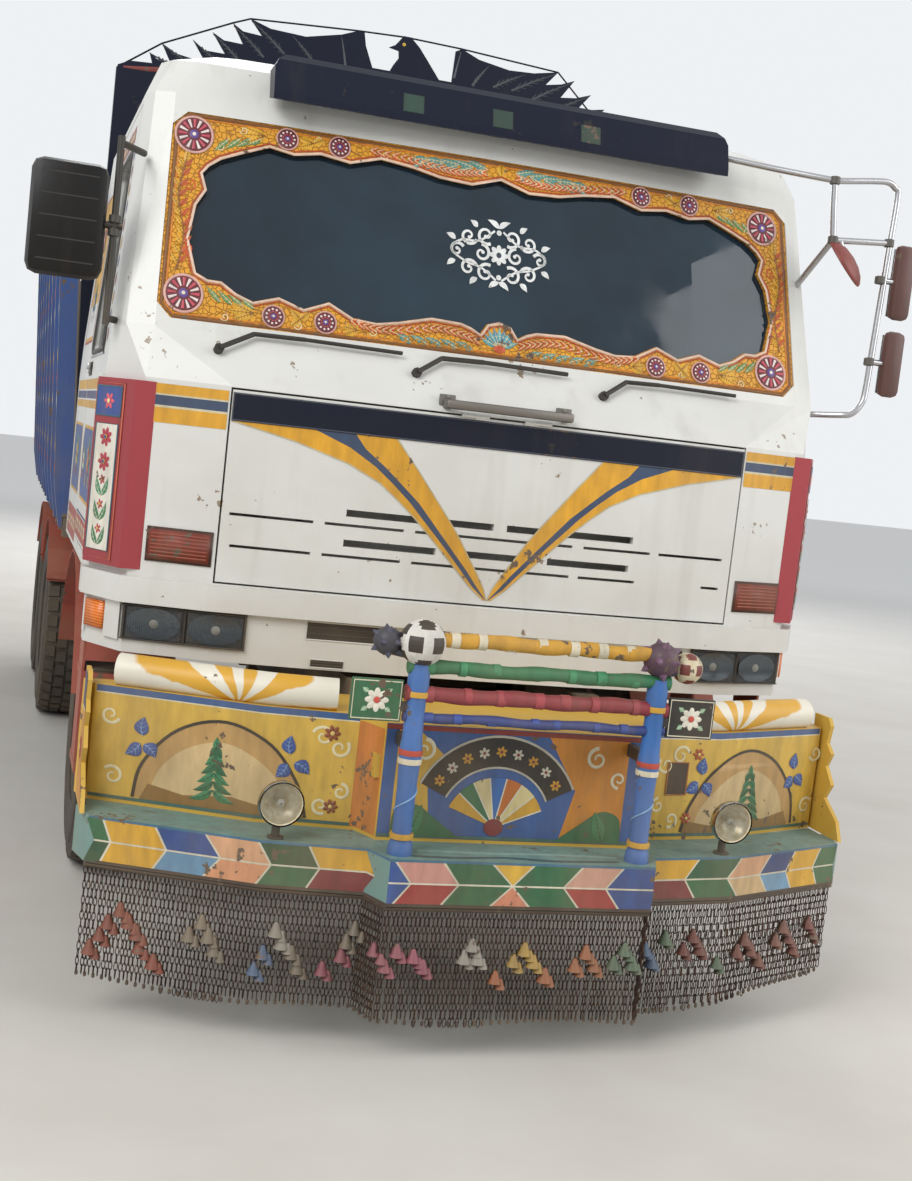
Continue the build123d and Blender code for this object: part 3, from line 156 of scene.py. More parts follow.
def paint(name, code, rough=0.38, metal=0.0, shine=0.5, **how):
    """A weathered paint of one colour."""
    s = Shade(name)
    return s.finish(*weather(s, tone(code), rough, **how), Metallic=metal, Specular_IOR_Level=shine)


paints = {}


def coloured(code):
    """Hand paint of one colour, as laid on the bumper, the frame and the panels."""
    if code not in paints:
        s = Shade("art_" + code[1:])
        brush = s.ramp(s.noise(30.0, 4.0, (1.0, 1.0, 0.25)), 0.3, 0.7)
        varied = s.mix(brush, shade(tone(code), 0.8), shade(tone(code), 1.12))
        worn = weather(s, varied, 0.42, dust=0.3, mottle=0.26, chips=0.42, streaks=0.3, bump=0.25)
        paints[code] = s.finish(*worn)
    return paints[code]


# Camera, light and floor
camera_data = bpy.data.cameras.new("camera")
camera_data.lens = 47.675
camera = bpy.data.objects.new("camera", camera_data)
camera.matrix_world = Matrix.Translation((-1.53353, -4.78515 + front_y, 1.75174)) @ (
    Matrix.Rotation(-0.293224, 4, "Z")
    @ Matrix.Rotation(-0.093783, 4, "X")
    @ Matrix.Rotation(-0.112289, 4, "Y")
    @ Matrix.Rotation(math.pi / 2, 4, "X")
)
scene.collection.objects.link(camera)
scene.camera = camera
scene.view_settings.view_transform = "Standard"

scene.world = bpy.data.worlds.new("studio")
scene.world.use_nodes = True
sky = scene.world.node_tree
sky.nodes.clear()


def sky_node(kind, *inputs, **settings):
    """A node of the world, fed by sockets or plain values. Returns its outputs."""
    node = sky.nodes.new("ShaderNode" + kind)
    for key, value in settings.items():
        setattr(node, key, value)
    for socket, value in zip(node.inputs, inputs):
        if isinstance(value, bpy.types.NodeSocket):
            sky.links.new(value, socket)
        else:
            socket.default_value = value
    return node.outputs


# What the camera, gloss and glass see is a pale backdrop, and the light from the sky is softer
rays = sky_node("LightPath")
seen = sky_node("Math", rays["Is Camera Ray"], rays["Is Glossy Ray"], operation="MAXIMUM")[0]
seen = sky_node("Math", seen, rays["Is Transmission Ray"], operation="MAXIMUM")[0]
light_side = sky_node("Background", (0.93, 0.96, 1.0, 1), 0.55)[0]
seen_side = sky_node("Background", (0.86, 0.88, 0.9, 1), 1.0)[0]
sky_node("OutputWorld", sky_node("MixShader", seen, light_side, seen_side)[0])

for name, place, target, size, power in (
    ("key", (-7, -9, 8), (0, -1, 1.2), 6, 740),
    ("fill", (8, -7, 5), (0, -1, 1.2), 7, 420),
    ("back_light", (3, 11, 8), (0, 1, 1.5), 8, 700),
):
    data = bpy.data.lights.new(name, "AREA")
    data.size = size
    data.energy = power
    lamp = bpy.data.objects.new(name, data)
    lamp.location = place
    lamp.rotation_euler = (Vector(target) - Vector(place)).to_track_quat("-Z", "Y").to_euler()
    scene.collection.objects.link(lamp)

floor_mesh = bpy.data.meshes.new("floor")
floor_mesh.from_pydata([(-60, -60, 0), (60, -60, 0), (60, 60, 0), (-60, 60, 0)], [], [(0, 1, 2, 3)])
floor = bpy.data.objects.new("floor", floor_mesh)
scene.collection.objects.link(floor)
s = Shade("floor")
near = s.cloud(1.4, 5.0, 0.3, 0.7, "#cdc8bf", "#d6d2ca")
# The floor is painted lighter from 6 m to 22 m out: painted light that makes up for the lamps' light falling off
# far away
reach = s.math("SQRT", s.plus(s.times(s.x, s.x), s.times(s.y, s.y)))
floor_mesh.materials.append(s.finish(s.mix(s.ramp(reach, 6.0, 22.0), near, tone("#fbfaf8")), 0.8))


# Drawing tools. A drawing is made flat, as (across, up, lift), and cast onto the truck.


def smooth(points, per=6):
    """Points along a smooth line through the given ones."""
    pts = [Vector(p) for p in points]
    count = len(pts)
    out = []
    for n in range(count - 1):
        a, b, c, d = (pts[min(max(n + k, 0), count - 1)] for k in (-1, 0, 1, 2))
        for step in range(per):
            t = step / per
            bend = (2 * a - 5 * b + 4 * c - d) * t * t + (3 * b - a - 3 * c + d) * t**3
            out.append(0.5 * (2 * b + (c - a) * t + bend))
    return [tuple(p) for p in [*out, pts[-1]]]


def polar(centre, across, up, angle):
    """A place on an ellipse, at an angle in radians."""
    return (centre[0] + across * math.cos(angle), centre[1] + up * math.sin(angle))


def arc(centre, across, up, start, end, steps=24):
    """Points along an ellipse, with angles in degrees."""
    return [polar(centre, across, up, math.radians(start + (end - start) * n / steps)) for n in range(steps + 1)]


def spiral(centre, wide, turns, start, shrink=0.12, mirror=1, steps=22):
    """Points along a curl that winds inwards."""
    out = []
    for n in range(steps + 1):
        t = n / steps
        reach = wide * (1 - t * (1 - shrink))
        out.append(polar(centre, reach, reach, math.radians(start) + mirror * turns * 2 * math.pi * t))
    return out


def box(x0, z0, x1, z1):
    return [(x0, z0), (x1, z0), (x1, z1), (x0, z1)]


def span(side, a, b):
    return sorted((side * a, side * b))


def mirrored(side, points):
    return [(side * p[0], *p[1:]) for p in points]


def grid(rows, wide, flip=False, round_rows=False, round_cols=False):
    """The quads of a net of points, which may close on itself either way."""
    quads = []
    for n in range(rows if round_rows else rows - 1):
        m = (n + 1) % rows
        for k in range(wide if round_cols else wide - 1):
            j = (k + 1) % wide
            quad = (n * wide + k, m * wide + k, m * wide + j, n * wide + j)
            quads.append((quad[0], quad[3], quad[2], quad[1]) if flip else quad)
    return quads


def in_place(x, y, z):
    """The cast of a piece that is made in space, with y behind the cab's front plane."""
    return Vector((x, y + front_y, z))


def heading(pts, n, closed):
    """From the point before to the point after a line's point."""
    before = pts[n - 1] if n or closed else pts[n]
    after = pts[(n + 1) % len(pts)] if n < len(pts) - 1 or closed else pts[n]
    return after - before


class Art:
    """Painted, carved or built shapes of one piece, in several colours."""

    def __init__(self, name, cast=in_place):
        self.name = name
        self.cast = cast
        self.bm = bmesh.new()
        self.codes = []

    def slot(self, code):
        if code not in self.codes:
            self.codes.append(code)
        return self.codes.index(code)

    def faces(self, points, faces, code):
        """Adds faces over (across, up, lift) points."""
        number = self.slot(code)
        verts = [self.bm.verts.new(p) for p in points]
        for face in faces:
            try:
                made = self.bm.faces.new([verts[n] for n in face])
            except ValueError:
                continue
            made.material_index = number
            made.smooth = True

    def fill(self, points, code, lift=0.001):
        flat = [(p[0], p[1], lift) for p in points]
        self.faces(flat, tessellate_polygon([[Vector((p[0], p[1], 0)) for p in points]]), code)

    def plate(self, corners, low, high, code):
        """A raised plate over four corners."""
        points = [(x, z, h) for h in (low, high) for x, z in corners]
        self.faces(points, [(0, 1, 5, 4), (1, 2, 6, 5), (2, 3, 7, 6), (3, 0, 4, 7), (4, 5, 6, 7)], code)

    def stroke(self, points, width, code, lift=0.0015, height=0.0, closed=False):
        """A ribbon, or a rounded bead where it has a height. Width is one number, or two for a taper."""
        pts = [Vector(p[:2]) for p in points]
        count = len(pts)
        lanes = (-1, -0.6, 0, 0.6, 1) if height else (-1, 1)
        flat = []
        for n, p in enumerate(pts):
            along = heading(pts, n, closed)
            if along.length < 1e-9:
                along = Vector((1, 0))
            along.normalize()
            across = Vector((-along.y, along.x))
            t = n / max(1, count - 1)
            half = (width[0] * (1 - t) + width[1] * t if isinstance(width, tuple) else width) / 2
            for lane in lanes:
                q = p + across * lane * half
                flat.append((q.x, q.y, lift + height * (1 - lane * lane)))
        self.faces(flat, grid(count, len(lanes), round_rows=closed), code)

    def disc(self, centre, across, up, code, lift=0.001, dome=0.0, turn=0.0, steps=20):
        """An ellipse, raised in the middle where it has a dome."""
        rings = (1.0, 0.75, 0.45) if dome else (1.0,)
        c, s = math.cos(math.radians(turn)), math.sin(math.radians(turn))
        flat = []
        for ring in rings:
            for n in range(steps):
                a, b = polar((0, 0), across * ring, up * ring, 2 * math.pi * n / steps)
                flat.append((centre[0] + a * c - b * s, centre[1] + a * s + b * c, lift + dome * (1 - ring**2)))
        flat.append((centre[0], centre[1], lift + dome))
        faces = grid(len(rings), steps, flip=True, round_cols=True)
        last = (len(rings) - 1) * steps
        faces += [(last + n, last + (n + 1) % steps, len(flat) - 1) for n in range(steps)]
        self.faces(flat, faces, code)

    def leaf(self, base, tip, width, code, vein, veins=7, bend=0.0, lift=0.001, height=0.003):
        """A raised leaf with a mid rib and side veins. Bend bows its middle sideways, as a share of its length."""
        base, tip = Vector(base), Vector(tip)
        along = tip - base
        size = along.length
        across = Vector((-along.y, along.x)).normalized()
        steps = 10

        def spine(t):
            return base + along * t + across * (bend * size * 4 * t * (1 - t))

        def half(t):
            return width / 2 * math.sin(math.pi * min(1, t**0.75)) + 0.0004

        flat = []
        for n in range(steps + 1):
            t = n / steps
            for side in (-1, -0.5, 0, 0.5, 1):
                q = spine(t) + across * side * half(t)
                flat.append((q.x, q.y, lift + height * (1 - side * side) * math.sin(math.pi * t) ** 0.5))
        self.faces(flat, grid(steps + 1, 5), code)
        over = lift + height + 0.0004
        edge = lift + height * 0.3 + 0.0008
        rib = max(0.0022, width * 0.05)
        self.stroke([spine(t / 8) for t in range(9)], (rib, rib * 0.4), vein, over)
        for n in range(veins):
            t = 0.12 + 0.72 * n / max(1, veins - 1)
            root = spine(t)
            reach = half(min(1, t + 0.1)) * 0.9
            for side in (-1, 1):
                end = root + across * side * reach + along.normalized() * reach * 0.8
                beside = (root.x + along.x / size * rib, root.y + along.y / size * rib, over)
                self.faces([(root.x, root.y, over), beside, (end.x, end.y, edge)], [(0, 1, 2)], vein)

    def rings(self, centre, sections, code, axis=(0, 0, 1), sides=20, cap=True):
        """A turned form in space: sections of (distance along the axis, radius)."""
        axis = Vector(axis).normalized()
        first = axis.orthogonal().normalized()
        second = axis.cross(first)
        flat = []
        for along, radius in sections:
            for n in range(sides):
                angle = 2 * math.pi * n / sides
                turn = first * math.cos(angle) + second * math.sin(angle)
                flat.append(tuple(Vector(centre) + axis * along + turn * radius))
        faces = grid(len(sections), sides, flip=True, round_cols=True)
        if cap:
            faces += [tuple(range(sides)), tuple(range((len(sections) - 1) * sides, len(sections) * sides))]
        self.faces(flat, faces, code)

    def pipe(self, points, radius, code, sides=10, closed=False):
        """A round bar along points in space. Radius is one number or one for each point."""
        pts = [Vector(p) for p in points]
        count = len(pts)
        flat = []
        side = None
        for n, p in enumerate(pts):
            along = heading(pts, n, closed).normalized()
            if side is None:
                side = along.orthogonal().normalized()
            side = (side - along * side.dot(along)).normalized()
            other = along.cross(side)
            wide = radius[n] if isinstance(radius, (list, tuple)) else radius
            for k in range(sides):
                angle = 2 * math.pi * k / sides
                flat.append(tuple(p + (side * math.cos(angle) + other * math.sin(angle)) * wide))
        faces = grid(count, sides, flip=True, round_rows=closed, round_cols=True)
        if not closed:
            faces += [tuple(range(sides)), tuple(range((count - 1) * sides, count * sides))]
        self.faces(flat, faces, code)

    def slab(self, low, high, code, round_off=0.0):
        """A box between two corners, with its edges broken by round_off."""
        spans = [sorted(pair) for pair in zip(low, high)]
        verts = bmesh.ops.create_cube(self.bm, size=1.0)["verts"]
        for v in verts:
            v.co = Vector([(a + b) / 2 + c * (b - a) for (a, b), c in zip(spans, v.co)])
        faces = list({f for v in verts for f in v.link_faces})
        if round_off:
            edges = list({e for v in verts for e in v.link_edges})
            made = bmesh.ops.bevel(self.bm, geom=edges, offset=round_off, segments=2, affect="EDGES", profile=0.5)
            faces = [f for f in set(faces) | set(made["faces"]) if f.is_valid]
            faces = list(set(faces) | {g for f in faces for v in f.verts for g in v.link_faces})
        for f in faces:
            f.material_index = self.slot(code)

    def build(self, body, slot, cuts=(), rises=(), angle=None, stands_for=None):
        """Cuts the drawing where the surface bends, casts it and hands it over."""
        for place, normal in [(c, (1, 0, 0)) for c in cuts] + [(c, (0, 1, 0)) for c in rises]:
            where = (place, 0, 0) if normal[0] else (0, place, 0)
            geometry = list(self.bm.verts) + list(self.bm.edges) + list(self.bm.faces)
            bmesh.ops.bisect_plane(self.bm, geom=geometry, plane_co=where, plane_no=normal)
        for v in self.bm.verts:
            v.co = self.cast(*v.co)
        bmesh.ops.recalc_face_normals(self.bm, faces=self.bm.faces)
        mesh = bpy.data.meshes.new(self.name)
        self.bm.to_mesh(mesh)
        self.bm.free()
        for code in self.codes:
            mesh.materials.append(coloured(code) if isinstance(code, str) else code)
        made = bpy.data.objects.new(self.name, mesh)
        scene.collection.objects.link(made)
        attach(made, body)
        if angle:
            smooth_by_angle(made, angle)
        if stands_for:
            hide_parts(stands_for)
        return made


def smooth_by_angle(made, angle):
    """Shades a piece smooth, apart from its sharp edges."""
    made.data.shade_smooth()
    made.data.set_sharp_from_angle(angle=math.radians(angle))


def join_doubles(made, turn_out=False):
    """Joins a piece's doubled points, so that it shades as one surface."""
    fix = bmesh.new()
    fix.from_mesh(made.data)
    bmesh.ops.remove_doubles(fix, verts=fix.verts, dist=0.00005)
    if turn_out:
        bmesh.ops.recalc_face_normals(fix, faces=fix.faces)
    fix.to_mesh(made.data)
    fix.free()


def between(rows, height):
    """A table's values at a height, in line between its rows. The first column is the height."""
    low, high = next((a, b) for a, b in zip(rows, rows[1:]) if height <= b[0])
    t = (height - low[0]) / (high[0] - low[0])
    return [a + (b - a) * t for a, b in zip(low[1:], high[1:])]


# The cab's front. Columns: height, distance behind the front plane, half width, corner's reach in and back.
cab_rows = (
    (1.0, 0.0, 1.225, 0.364, 0.25),
    (1.845, 0.0, 1.225, 0.364, 0.25),
    (2.005, 0.14, 1.218, 0.118, 0.13),
    (2.755, 0.392, 1.165, 0.085, 0.11),
    (2.87, 0.445, 1.12, 0.11, 0.11),
    (2.935, 0.6, 0.97, 0.11, 0.11),
)
bow = 0.05


def cab_edge(z):
    """The cab's outline at a height, from the middle of its front round to its side."""
    nose, half, reach_in, reach_back = between(cab_rows, min(max(z, cab_rows[0][0]), cab_rows[-1][0] - 1e-4))
    flat = half - reach_in
    edge = [(flat * n / 3, nose - bow * (1 - (n / 3) ** 2)) for n in range(4)]
    edge += [(half - 0.29 * reach_in, nose + 0.29 * reach_back), (half, nose + reach_back)]
    return edge


def cab_place(x, z):
    """How far behind the front plane the cab's front face is."""
    edge = cab_edge(z)
    far = min(abs(x), edge[-1][0] - 1e-5)
    a, b = next((a, b) for a, b in zip(edge, edge[1:]) if far <= b[0])
    return a[1] + (b[1] - a[1]) * (far - a[0]) / max(1e-6, b[0] - a[0])


def on_cab(x, z, lift):
    """A place on the cab's front face."""
    step = 0.004
    lean = (cab_place(x, z + step) - cab_place(x, z - step)) / (2 * step)
    turn = (cab_place(x + step, z) - cab_place(x - step, z)) / (2 * step)
    return in_place(x, cab_place(x, z), z) + Vector((turn, -1, lean)).normalized() * lift


cab_cuts = [side * c for side in (-1, 1) for c in (0.287, 0.574, 0.861, 1.119)] + [0]

# Bumper's plan, for its right half: x and place of the band's front edge
band_plan = ((0.0, -0.7), (0.4, -0.7), (0.44, -0.6), (0.735, -0.55), (1.2, -0.35))
band_cuts = [side * c for side in (-1, 1) for c in (0.4, 0.44, 0.735)]
panel_back = 0.2


def on_bumper(set_back):
    """A cast onto the bumper's upright faces, so far behind the band's front edge."""

    def cast(x, z, lift):
        far = min(abs(x), 1.1999)
        a, b = next((a, b) for a, b in zip(band_plan, band_plan[1:]) if far <= b[0])
        slope = (b[1] - a[1]) / (b[0] - a[0])
        out = Vector((slope * (1 if x > 0 else -1), -1, 0)).normalized()
        if 0.4 < far < 0.44:
            out = Vector((0, -1, 0))
        return in_place(x, a[1] + slope * (far - a[0]) + set_back, z) + out * lift

    return cast


def onto(name, start, across, up, toward, depth=0.0):
    """A cast that sends a drawing from a plane along a direction until it meets a CAD node at rest."""
    obj = nodes[name]
    verts = [obj.matrix_world @ v.co for v in obj.data.vertices]
    tree = BVHTree.FromPolygons(verts, [list(p.vertices) for p in obj.data.polygons])
    start, across, up, toward = Vector(start), Vector(across), Vector(up), Vector(toward).normalized()

    def cast(a, b, lift):
        origin = start + across * a + up * b
        hit, normal, _, _ = tree.ray_cast(origin, toward)
        if hit is None:
            return origin + toward * (depth - lift)
        return hit + (-normal if normal.dot(toward) > 0 else normal) * lift

    return cast


# Materials of the CAD nodes


def dress(material, *names, bevel=0.0):
    for name in names:
        obj = nodes[name]
        for place in obj.material_slots:
            place.link = "OBJECT"
            place.material = material
        if bevel:
            edge = obj.modifiers.new("edges", "BEVEL")
            edge.width = bevel
            edge.segments = 2
            edge.limit_method = "ANGLE"
            edge.angle_limit = math.radians(32)
            edge.use_clamp_overlap = True
            edge.harden_normals = True


white = paint("cab_white", "#dadad5", 0.26, dust=0.36, mottle=0.08, chips=0.12, under="#8a7a66", streaks=0.2)
inside = paint("cab_lining", "#2a2a2d", 0.7, dust=0.2, streaks=0.0)
black = paint("chassis_black", "#26221f", 0.62, dust=0.75, mottle=0.14, chips=0.3, under="#5a3d2a")
iron = paint("engine_iron", "#3d3a37", 0.66, dust=0.7, mottle=0.2, streaks=0.3)
navy = paint(
    "visor_navy", "#0c1427", 0.3, shine=0.22, dust=0.06, mottle=0.06, chips=0.15, under="#2c2a2a", streaks=0.06
)
blue = paint("deep_blue", "#1c4f92", 0.4, dust=0.35, mottle=0.12, chips=0.35)
red = paint("guard_red", "#a53a30", 0.45, dust=0.5, mottle=0.15, chips=0.4)
shell_black = paint("mirror_shell", "#0c0c0e", 0.34, shine=0.25, dust=0.1, streaks=0.05)
rubber = paint("soft_black", "#1b1b1c", 0.6, dust=0.25, mottle=0.06, streaks=0.05)
teal = paint("ledge_teal", "#6f9691", 0.5, dust=0.35, mottle=0.2, chips=0.5)
ochre = paint("bumper_ochre", "#d9ae3f", 0.42, dust=0.25, mottle=0.22, chips=0.3)
grey_steel = paint("worn_steel", "#7a7672", 0.42, 0.8, dust=0.35, mottle=0.2, streaks=0.1)
plated = paint("plated_tube", "#b9b9bb", 0.2, 0.95, dust=0.18, mottle=0.08, streaks=0.05)
bed_inside = paint("bed_inside", "#5f5a54", 0.66, dust=0.7, mottle=0.3, chips=0.5)
s = Shade("dark_glass")
haze = s.times(s.ramp(s.noise(6.0, 5.0), 0.4, 0.8), 0.16)
dark_glass = s.finish(s.cloud(2.2, 6.0, 0.4, 0.75, "#10202c", "#1d3442"), haze, Alpha=0.93)
s = Shade("side_glass")
side_glass = s.finish(s.cloud(3.0, 4.0, 0.4, 0.7, "#22313a", "#31434c"), 0.06, Alpha=0.72)

# Carved frame's ground: ochre wood with fine carving in its bump, and painted shade that darkens its grooves
s = Shade("carved_ground")
carve = s.make("TexVoronoi", {"Vector": s.place, "Scale": 60.0}, feature="DISTANCE_TO_EDGE").outputs[0]
grooves = s.ramp(carve, 0.0, 0.09)
wood = s.mix(grooves, tone("#8a5a14"), tone("#dc9a22"))
wood = weather(s, wood, 0.42, dust=0.1, mottle=0.2, chips=0.1, streaks=0.0)
s.bump(grooves, 0.7, 0.003)
carved_ground = s.finish(*wood)

for material, bevel, names in (
    (white, 0.004, "cab_front front_lid cab_sides door_left door_right cab_roof cab_rear"),
    (inside, 0.003, "cab_floor dashboard"),
    (black, 0.003, "chassis_frame driveline leaf_springs front_axle knuckle_left knuckle_right track_rod"),
    (black, 0.003, "tail_bar hoist_barrel"),
    (iron, 0.01, "engine"),
    (blue, 0.006, "tanks"),
    (red, 0.001, "mudguards cab_steps"),
    (navy, 0.022, "visor"),
    (navy, 0.006, "headboard"),
    (teal, 0.004, "bumper_band"),
    (ochre, 0.003, "bumper_panels"),
    (rubber, 0, "wipers"),
    (plated, 0, "hoist_rod"),
    (grey_steel, 0.003, "grab_handle"),
    (dark_glass, 0, "windscreen"),
    (side_glass, 0, "door_glass_left door_glass_right"),
    (bed_inside, 0.003, "bed_floor bed_beams"),
    (carved_ground, 0.004, "screen_frame"),
):
    dress(material, *names.split(), bevel=bevel)


# Colours that several paintings share
paper, gilt, corn, poppy, brick = "#e9e4d6", "#d9a530", "#e2b53c", "#c53b34", "#a1352e"
royal, cobalt, bottle, moss, sage = "#1c4f92", "#1f4f93", "#17633f", "#2f7a4c", "#7fb48a"
soot, rail_brown = "#1d1c1b", "#4a3f36"

# Lid: a plain dark strip, and stripes that meet in a V
strip_low, strip_high = 1.742, 1.828
# Columns: height, outer edge, blue's lower edge, blue's upper edge, inner edge, as distances from the middle
stripe_rows = (
    (1.262, 0.012, 0.004, 0.002, 0.001),
    (1.30, 0.06, 0.05, 0.035, 0.015),
    (1.35, 0.11, 0.095, 0.075, 0.045),
    (1.40, 0.16, 0.14, 0.12, 0.078),
    (1.45, 0.21, 0.188, 0.165, 0.11),
    (1.50, 0.262, 0.237, 0.21, 0.147),
    (1.55, 0.32, 0.285, 0.255, 0.187),
    (1.60, 0.385, 0.342, 0.313, 0.227),
    (1.65, 0.49, 0.405, 0.372, 0.267),
    (1.70, 0.66, 0.49, 0.44, 0.31),
    (strip_low, 0.858, 0.60, 0.475, 0.345),
)
lid_art = Art("lid_stripes", on_cab)
yellow, stripe_navy = "#e3a51e", "#1d3f63"
for side in (-1, 1):
    for low, high, code in ((1, 2, yellow), (2, 3, stripe_navy), (3, 4, yellow)):
        points = [(side * row[low], row[0], 0.0009) for row in stripe_rows]
        points += [(side * row[high], row[0], 0.0009) for row in reversed(stripe_rows)]
        last = len(points) - 1
        lid_art.faces(points, [(n, n + 1, last - 1 - n, last - n) for n in range(len(stripe_rows) - 1)], code)
    for column in (1, 4):
        lid_art.stroke([(side * row[column], row[0]) for row in stripe_rows], 0.004, "#c9b98f", 0.0013)
lid_art.build("lid", "cab_white", cuts=cab_cuts)

strip = Art("name_strip_bare", on_cab)
strip_half = 0.859
strip.fill(box(-strip_half, strip_low, strip_half, strip_high), navy, 0.003)
lines = [[(-strip_half, z), (strip_half, z)] for z in (strip_low + 0.003, strip_high - 0.003)]
lines += [[(x, strip_low), (x, strip_high)] for x in (-strip_half + 0.002, strip_half - 0.002)]
for line in lines:
    strip.stroke(line, 0.004, "#2c3a4e", 0.0034, 0.001)
strip.build("lid", "cab_white", cuts=cab_cuts, rises=[(strip_low + strip_high) / 2])

corner_art = Art("corner_stripes", on_cab)
for side in (-1, 1):
    a, b = span(side, 0.872, 1.14)
    for low, high, code in (
        (1.712, 1.758, yellow),
        (1.765, 1.795, stripe_navy),
        (1.80, 1.83, yellow),
        (1.758, 1.765, "#d8cfae"),
        (1.795, 1.80, "#d8cfae"),
    ):
        corner_art.fill(box(a, low, b, high), code, 0.001)
corner_art.build("chassis", "cab_white", cuts=cab_cuts)

# Side reflectors on the corners
side_reflectors = Art("corner_reflectors", on_cab)
for x0, x1, z0, z1 in ((-1.065, -0.885, 1.297, 1.388), (0.9, 1.075, 1.295, 1.385)):
    for grow, lift, code in ((0.008, 0.004, "#3a1512"), (0.0, 0.010, "#7c2a1c")):
        side_reflectors.plate(box(x0 - grow, z0 - grow, x1 + grow, z1 + grow), 0.0, lift, code)
    for n in range(7):
        z = z0 + 0.012 + (z1 - z0 - 0.024) * n / 6
        side_reflectors.stroke([(x0 + 0.006, z), (x1 - 0.006, z)], 0.005, "#93351f", 0.0102, 0.0012)
side_reflectors.build("chassis", "corner_maroon")


# Ornament


def flower(art, centre, radius, petal, heart, petals=8, lift=0.002, turn=0.0, dome=0.002):
    """Round petals about a heart."""
    for n in range(petals):
        angle = 2 * math.pi * n / petals + math.radians(turn)
        place = polar(centre, radius * 0.6, radius * 0.6, angle)
        art.disc(place, radius * 0.42, radius * 0.26, petal, lift, dome, math.degrees(angle), 10)
    art.disc(centre, radius * 0.28, radius * 0.28, heart, lift + dome * 1.2, dome, 0, 12)


def roundel(art, centre, radius, big):
    """A carved rosette with a ring of petals."""
    art.disc(centre, radius, radius, "#5e1122", 0.003, 0.003, 0, 28)
    ring = arc(centre, radius * 0.95, radius * 0.95, 0, 360, 30)[:-1]
    art.stroke(ring, radius * 0.13, "#d9a79c", 0.0035, 0.002, closed=True)
    count = 16 if big else 11
    for n in range(count):
        turn = 2 * math.pi * n / count
        inner, outer = (polar(centre, radius * f, radius * f, turn) for f in ((0.36, 0.8) if big else (0.4, 0.62)))
        if big:
            code = "#e8d8d4" if n % 2 else "#c4475a"
            art.stroke([inner, outer], (radius * 0.07, radius * 0.16), code, 0.0062, 0.001)
        else:
            art.disc(outer, radius * 0.1, radius * 0.1, "#f0dcd8", 0.006, 0.0012, 0, 8)
            art.disc(inner, radius * 0.07, radius * 0.07, "#c4475a", 0.0062, 0.001, 0, 8)
    art.disc(centre, radius * 0.24, radius * 0.24, "#5a3f8c", 0.0062, 0.002, 0, 14)
    art.disc(centre, radius * 0.1, radius * 0.1, "#e8dccb", 0.0082, 0.001, 0, 10)


def braid(art, points, width, code, edge, step=0.016):
    """Slanting leaves laid over each other along a line."""
    fine = [Vector(p) for p in smooth(points, 14)]
    run = 0.0
    for before, p, after in zip(fine, fine[1:], fine[2:]):
        run += (p - before).length
        if run < step:
            continue
        run = 0.0
        along = (after - before).normalized()
        across = Vector((-along.y, along.x))
        for side in (-1, 1):
            tip = p + along * width * 0.55 + across * side * width * 0.5
            art.leaf(p - along * width * 0.5, tip, width * 0.42, code, edge, 3, 0.0, 0.002, 0.0035)


def grown(points, reach):
    """A closed line moved outwards."""
    out = []
    for n, p in enumerate(points):
        along = (Vector(points[(n + 1) % len(points)]) - Vector(points[n - 1])).normalized()
        out.append(tuple(Vector(p) + Vector((-along.y, along.x)) * reach))
    return out


def diamonds(art, start, end, count, wide, codes, lift=0.0012, edge=paper):
    """A row of diamonds from one place to another, with a thin line round each."""
    start, way = Vector(start), Vector(end) - Vector(start)
    out = Vector((-way.y, way.x)).normalized() * wide / 2
    for n in range(count):
        low, high = (start + way * ((n + share) / count) for share in (0.04, 0.96))
        middle = (low + high) / 2
        loop = [tuple(p) for p in (low, middle + out, high, middle - out)]
        art.fill(loop, codes[n % len(codes)], lift)
        art.stroke(loop, 0.004, edge, lift + 0.0004, 0, closed=True)


def bouquet(art, centre, size, petal, heart, leaf_code, lift=0.0008):
    """A flower between leaves, as painted on panels."""
    for angle in (20, 60, 120, 160, 200, 340):
        turn = math.radians(angle)
        root, tip = polar(centre, size * 0.5, size * 0.5, turn), polar(centre, size * 1.5, size * 1.35, turn)
        art.leaf(root, tip, size * 0.42, leaf_code, paper, 3, 0.12, lift, 0.0006)
    flower(art, centre, size * 0.72, petal, heart, 8, lift + 0.001, 0, 0.0006)
    for dx in (-1.1, 1.1):
        place = (centre[0] + size * dx, centre[1] - size * 0.95)
        flower(art, place, size * 0.32, heart, petal, 6, lift + 0.0006, 0, 0.0004)


def framed(art, x0, z0, x1, z1, ground, rims, lift):
    """A painted field with closed lines inside its edge. Rims: (inset, width, colour)."""
    art.fill(box(x0, z0, x1, z1), ground, lift)
    for inset, wide, code in rims:
        loop = box(x0 + inset, z0 + inset, x1 - inset, z1 - inset)
        art.stroke(loop, wide, code, lift * 1.5, 0.0004, closed=True)


def bordered(art, loop, ground, edge, wide=0.012):
    """A painted field with a line on its edge."""
    art.fill(loop, ground, 0.0005)
    art.stroke(loop, wide, edge, 0.0008, 0.0006, closed=True)


# Carved and painted windscreen frame. Its inner edge, right half from the top middle to the bottom middle.
inner_edge = [
    (0, 2.632), (0.1, 2.6), (0.21, 2.606), (0.3, 2.625), (0.41, 2.638), (0.512, 2.608), (0.61, 2.622),
    (0.695, 2.606), (0.775, 2.62), (0.86, 2.586), (0.925, 2.558), (0.962, 2.53), (0.982, 2.505),
    (0.966, 2.452), (0.996, 2.4), (1.014, 2.29), (0.985, 2.185), (0.948, 2.168), (0.905, 2.167),
    (0.858, 2.136), (0.805, 2.116), (0.725, 2.141), (0.645, 2.114), (0.565, 2.146), (0.485, 2.105),
    (0.41, 2.1), (0.34, 2.113), (0.23, 2.141), (0.13, 2.137), (0.095, 2.126), (0.064, 2.108), (0.04, 2.144),
    (0, 2.156),
]
whole_edge = inner_edge + mirrored(-1, inner_edge[-2:0:-1])
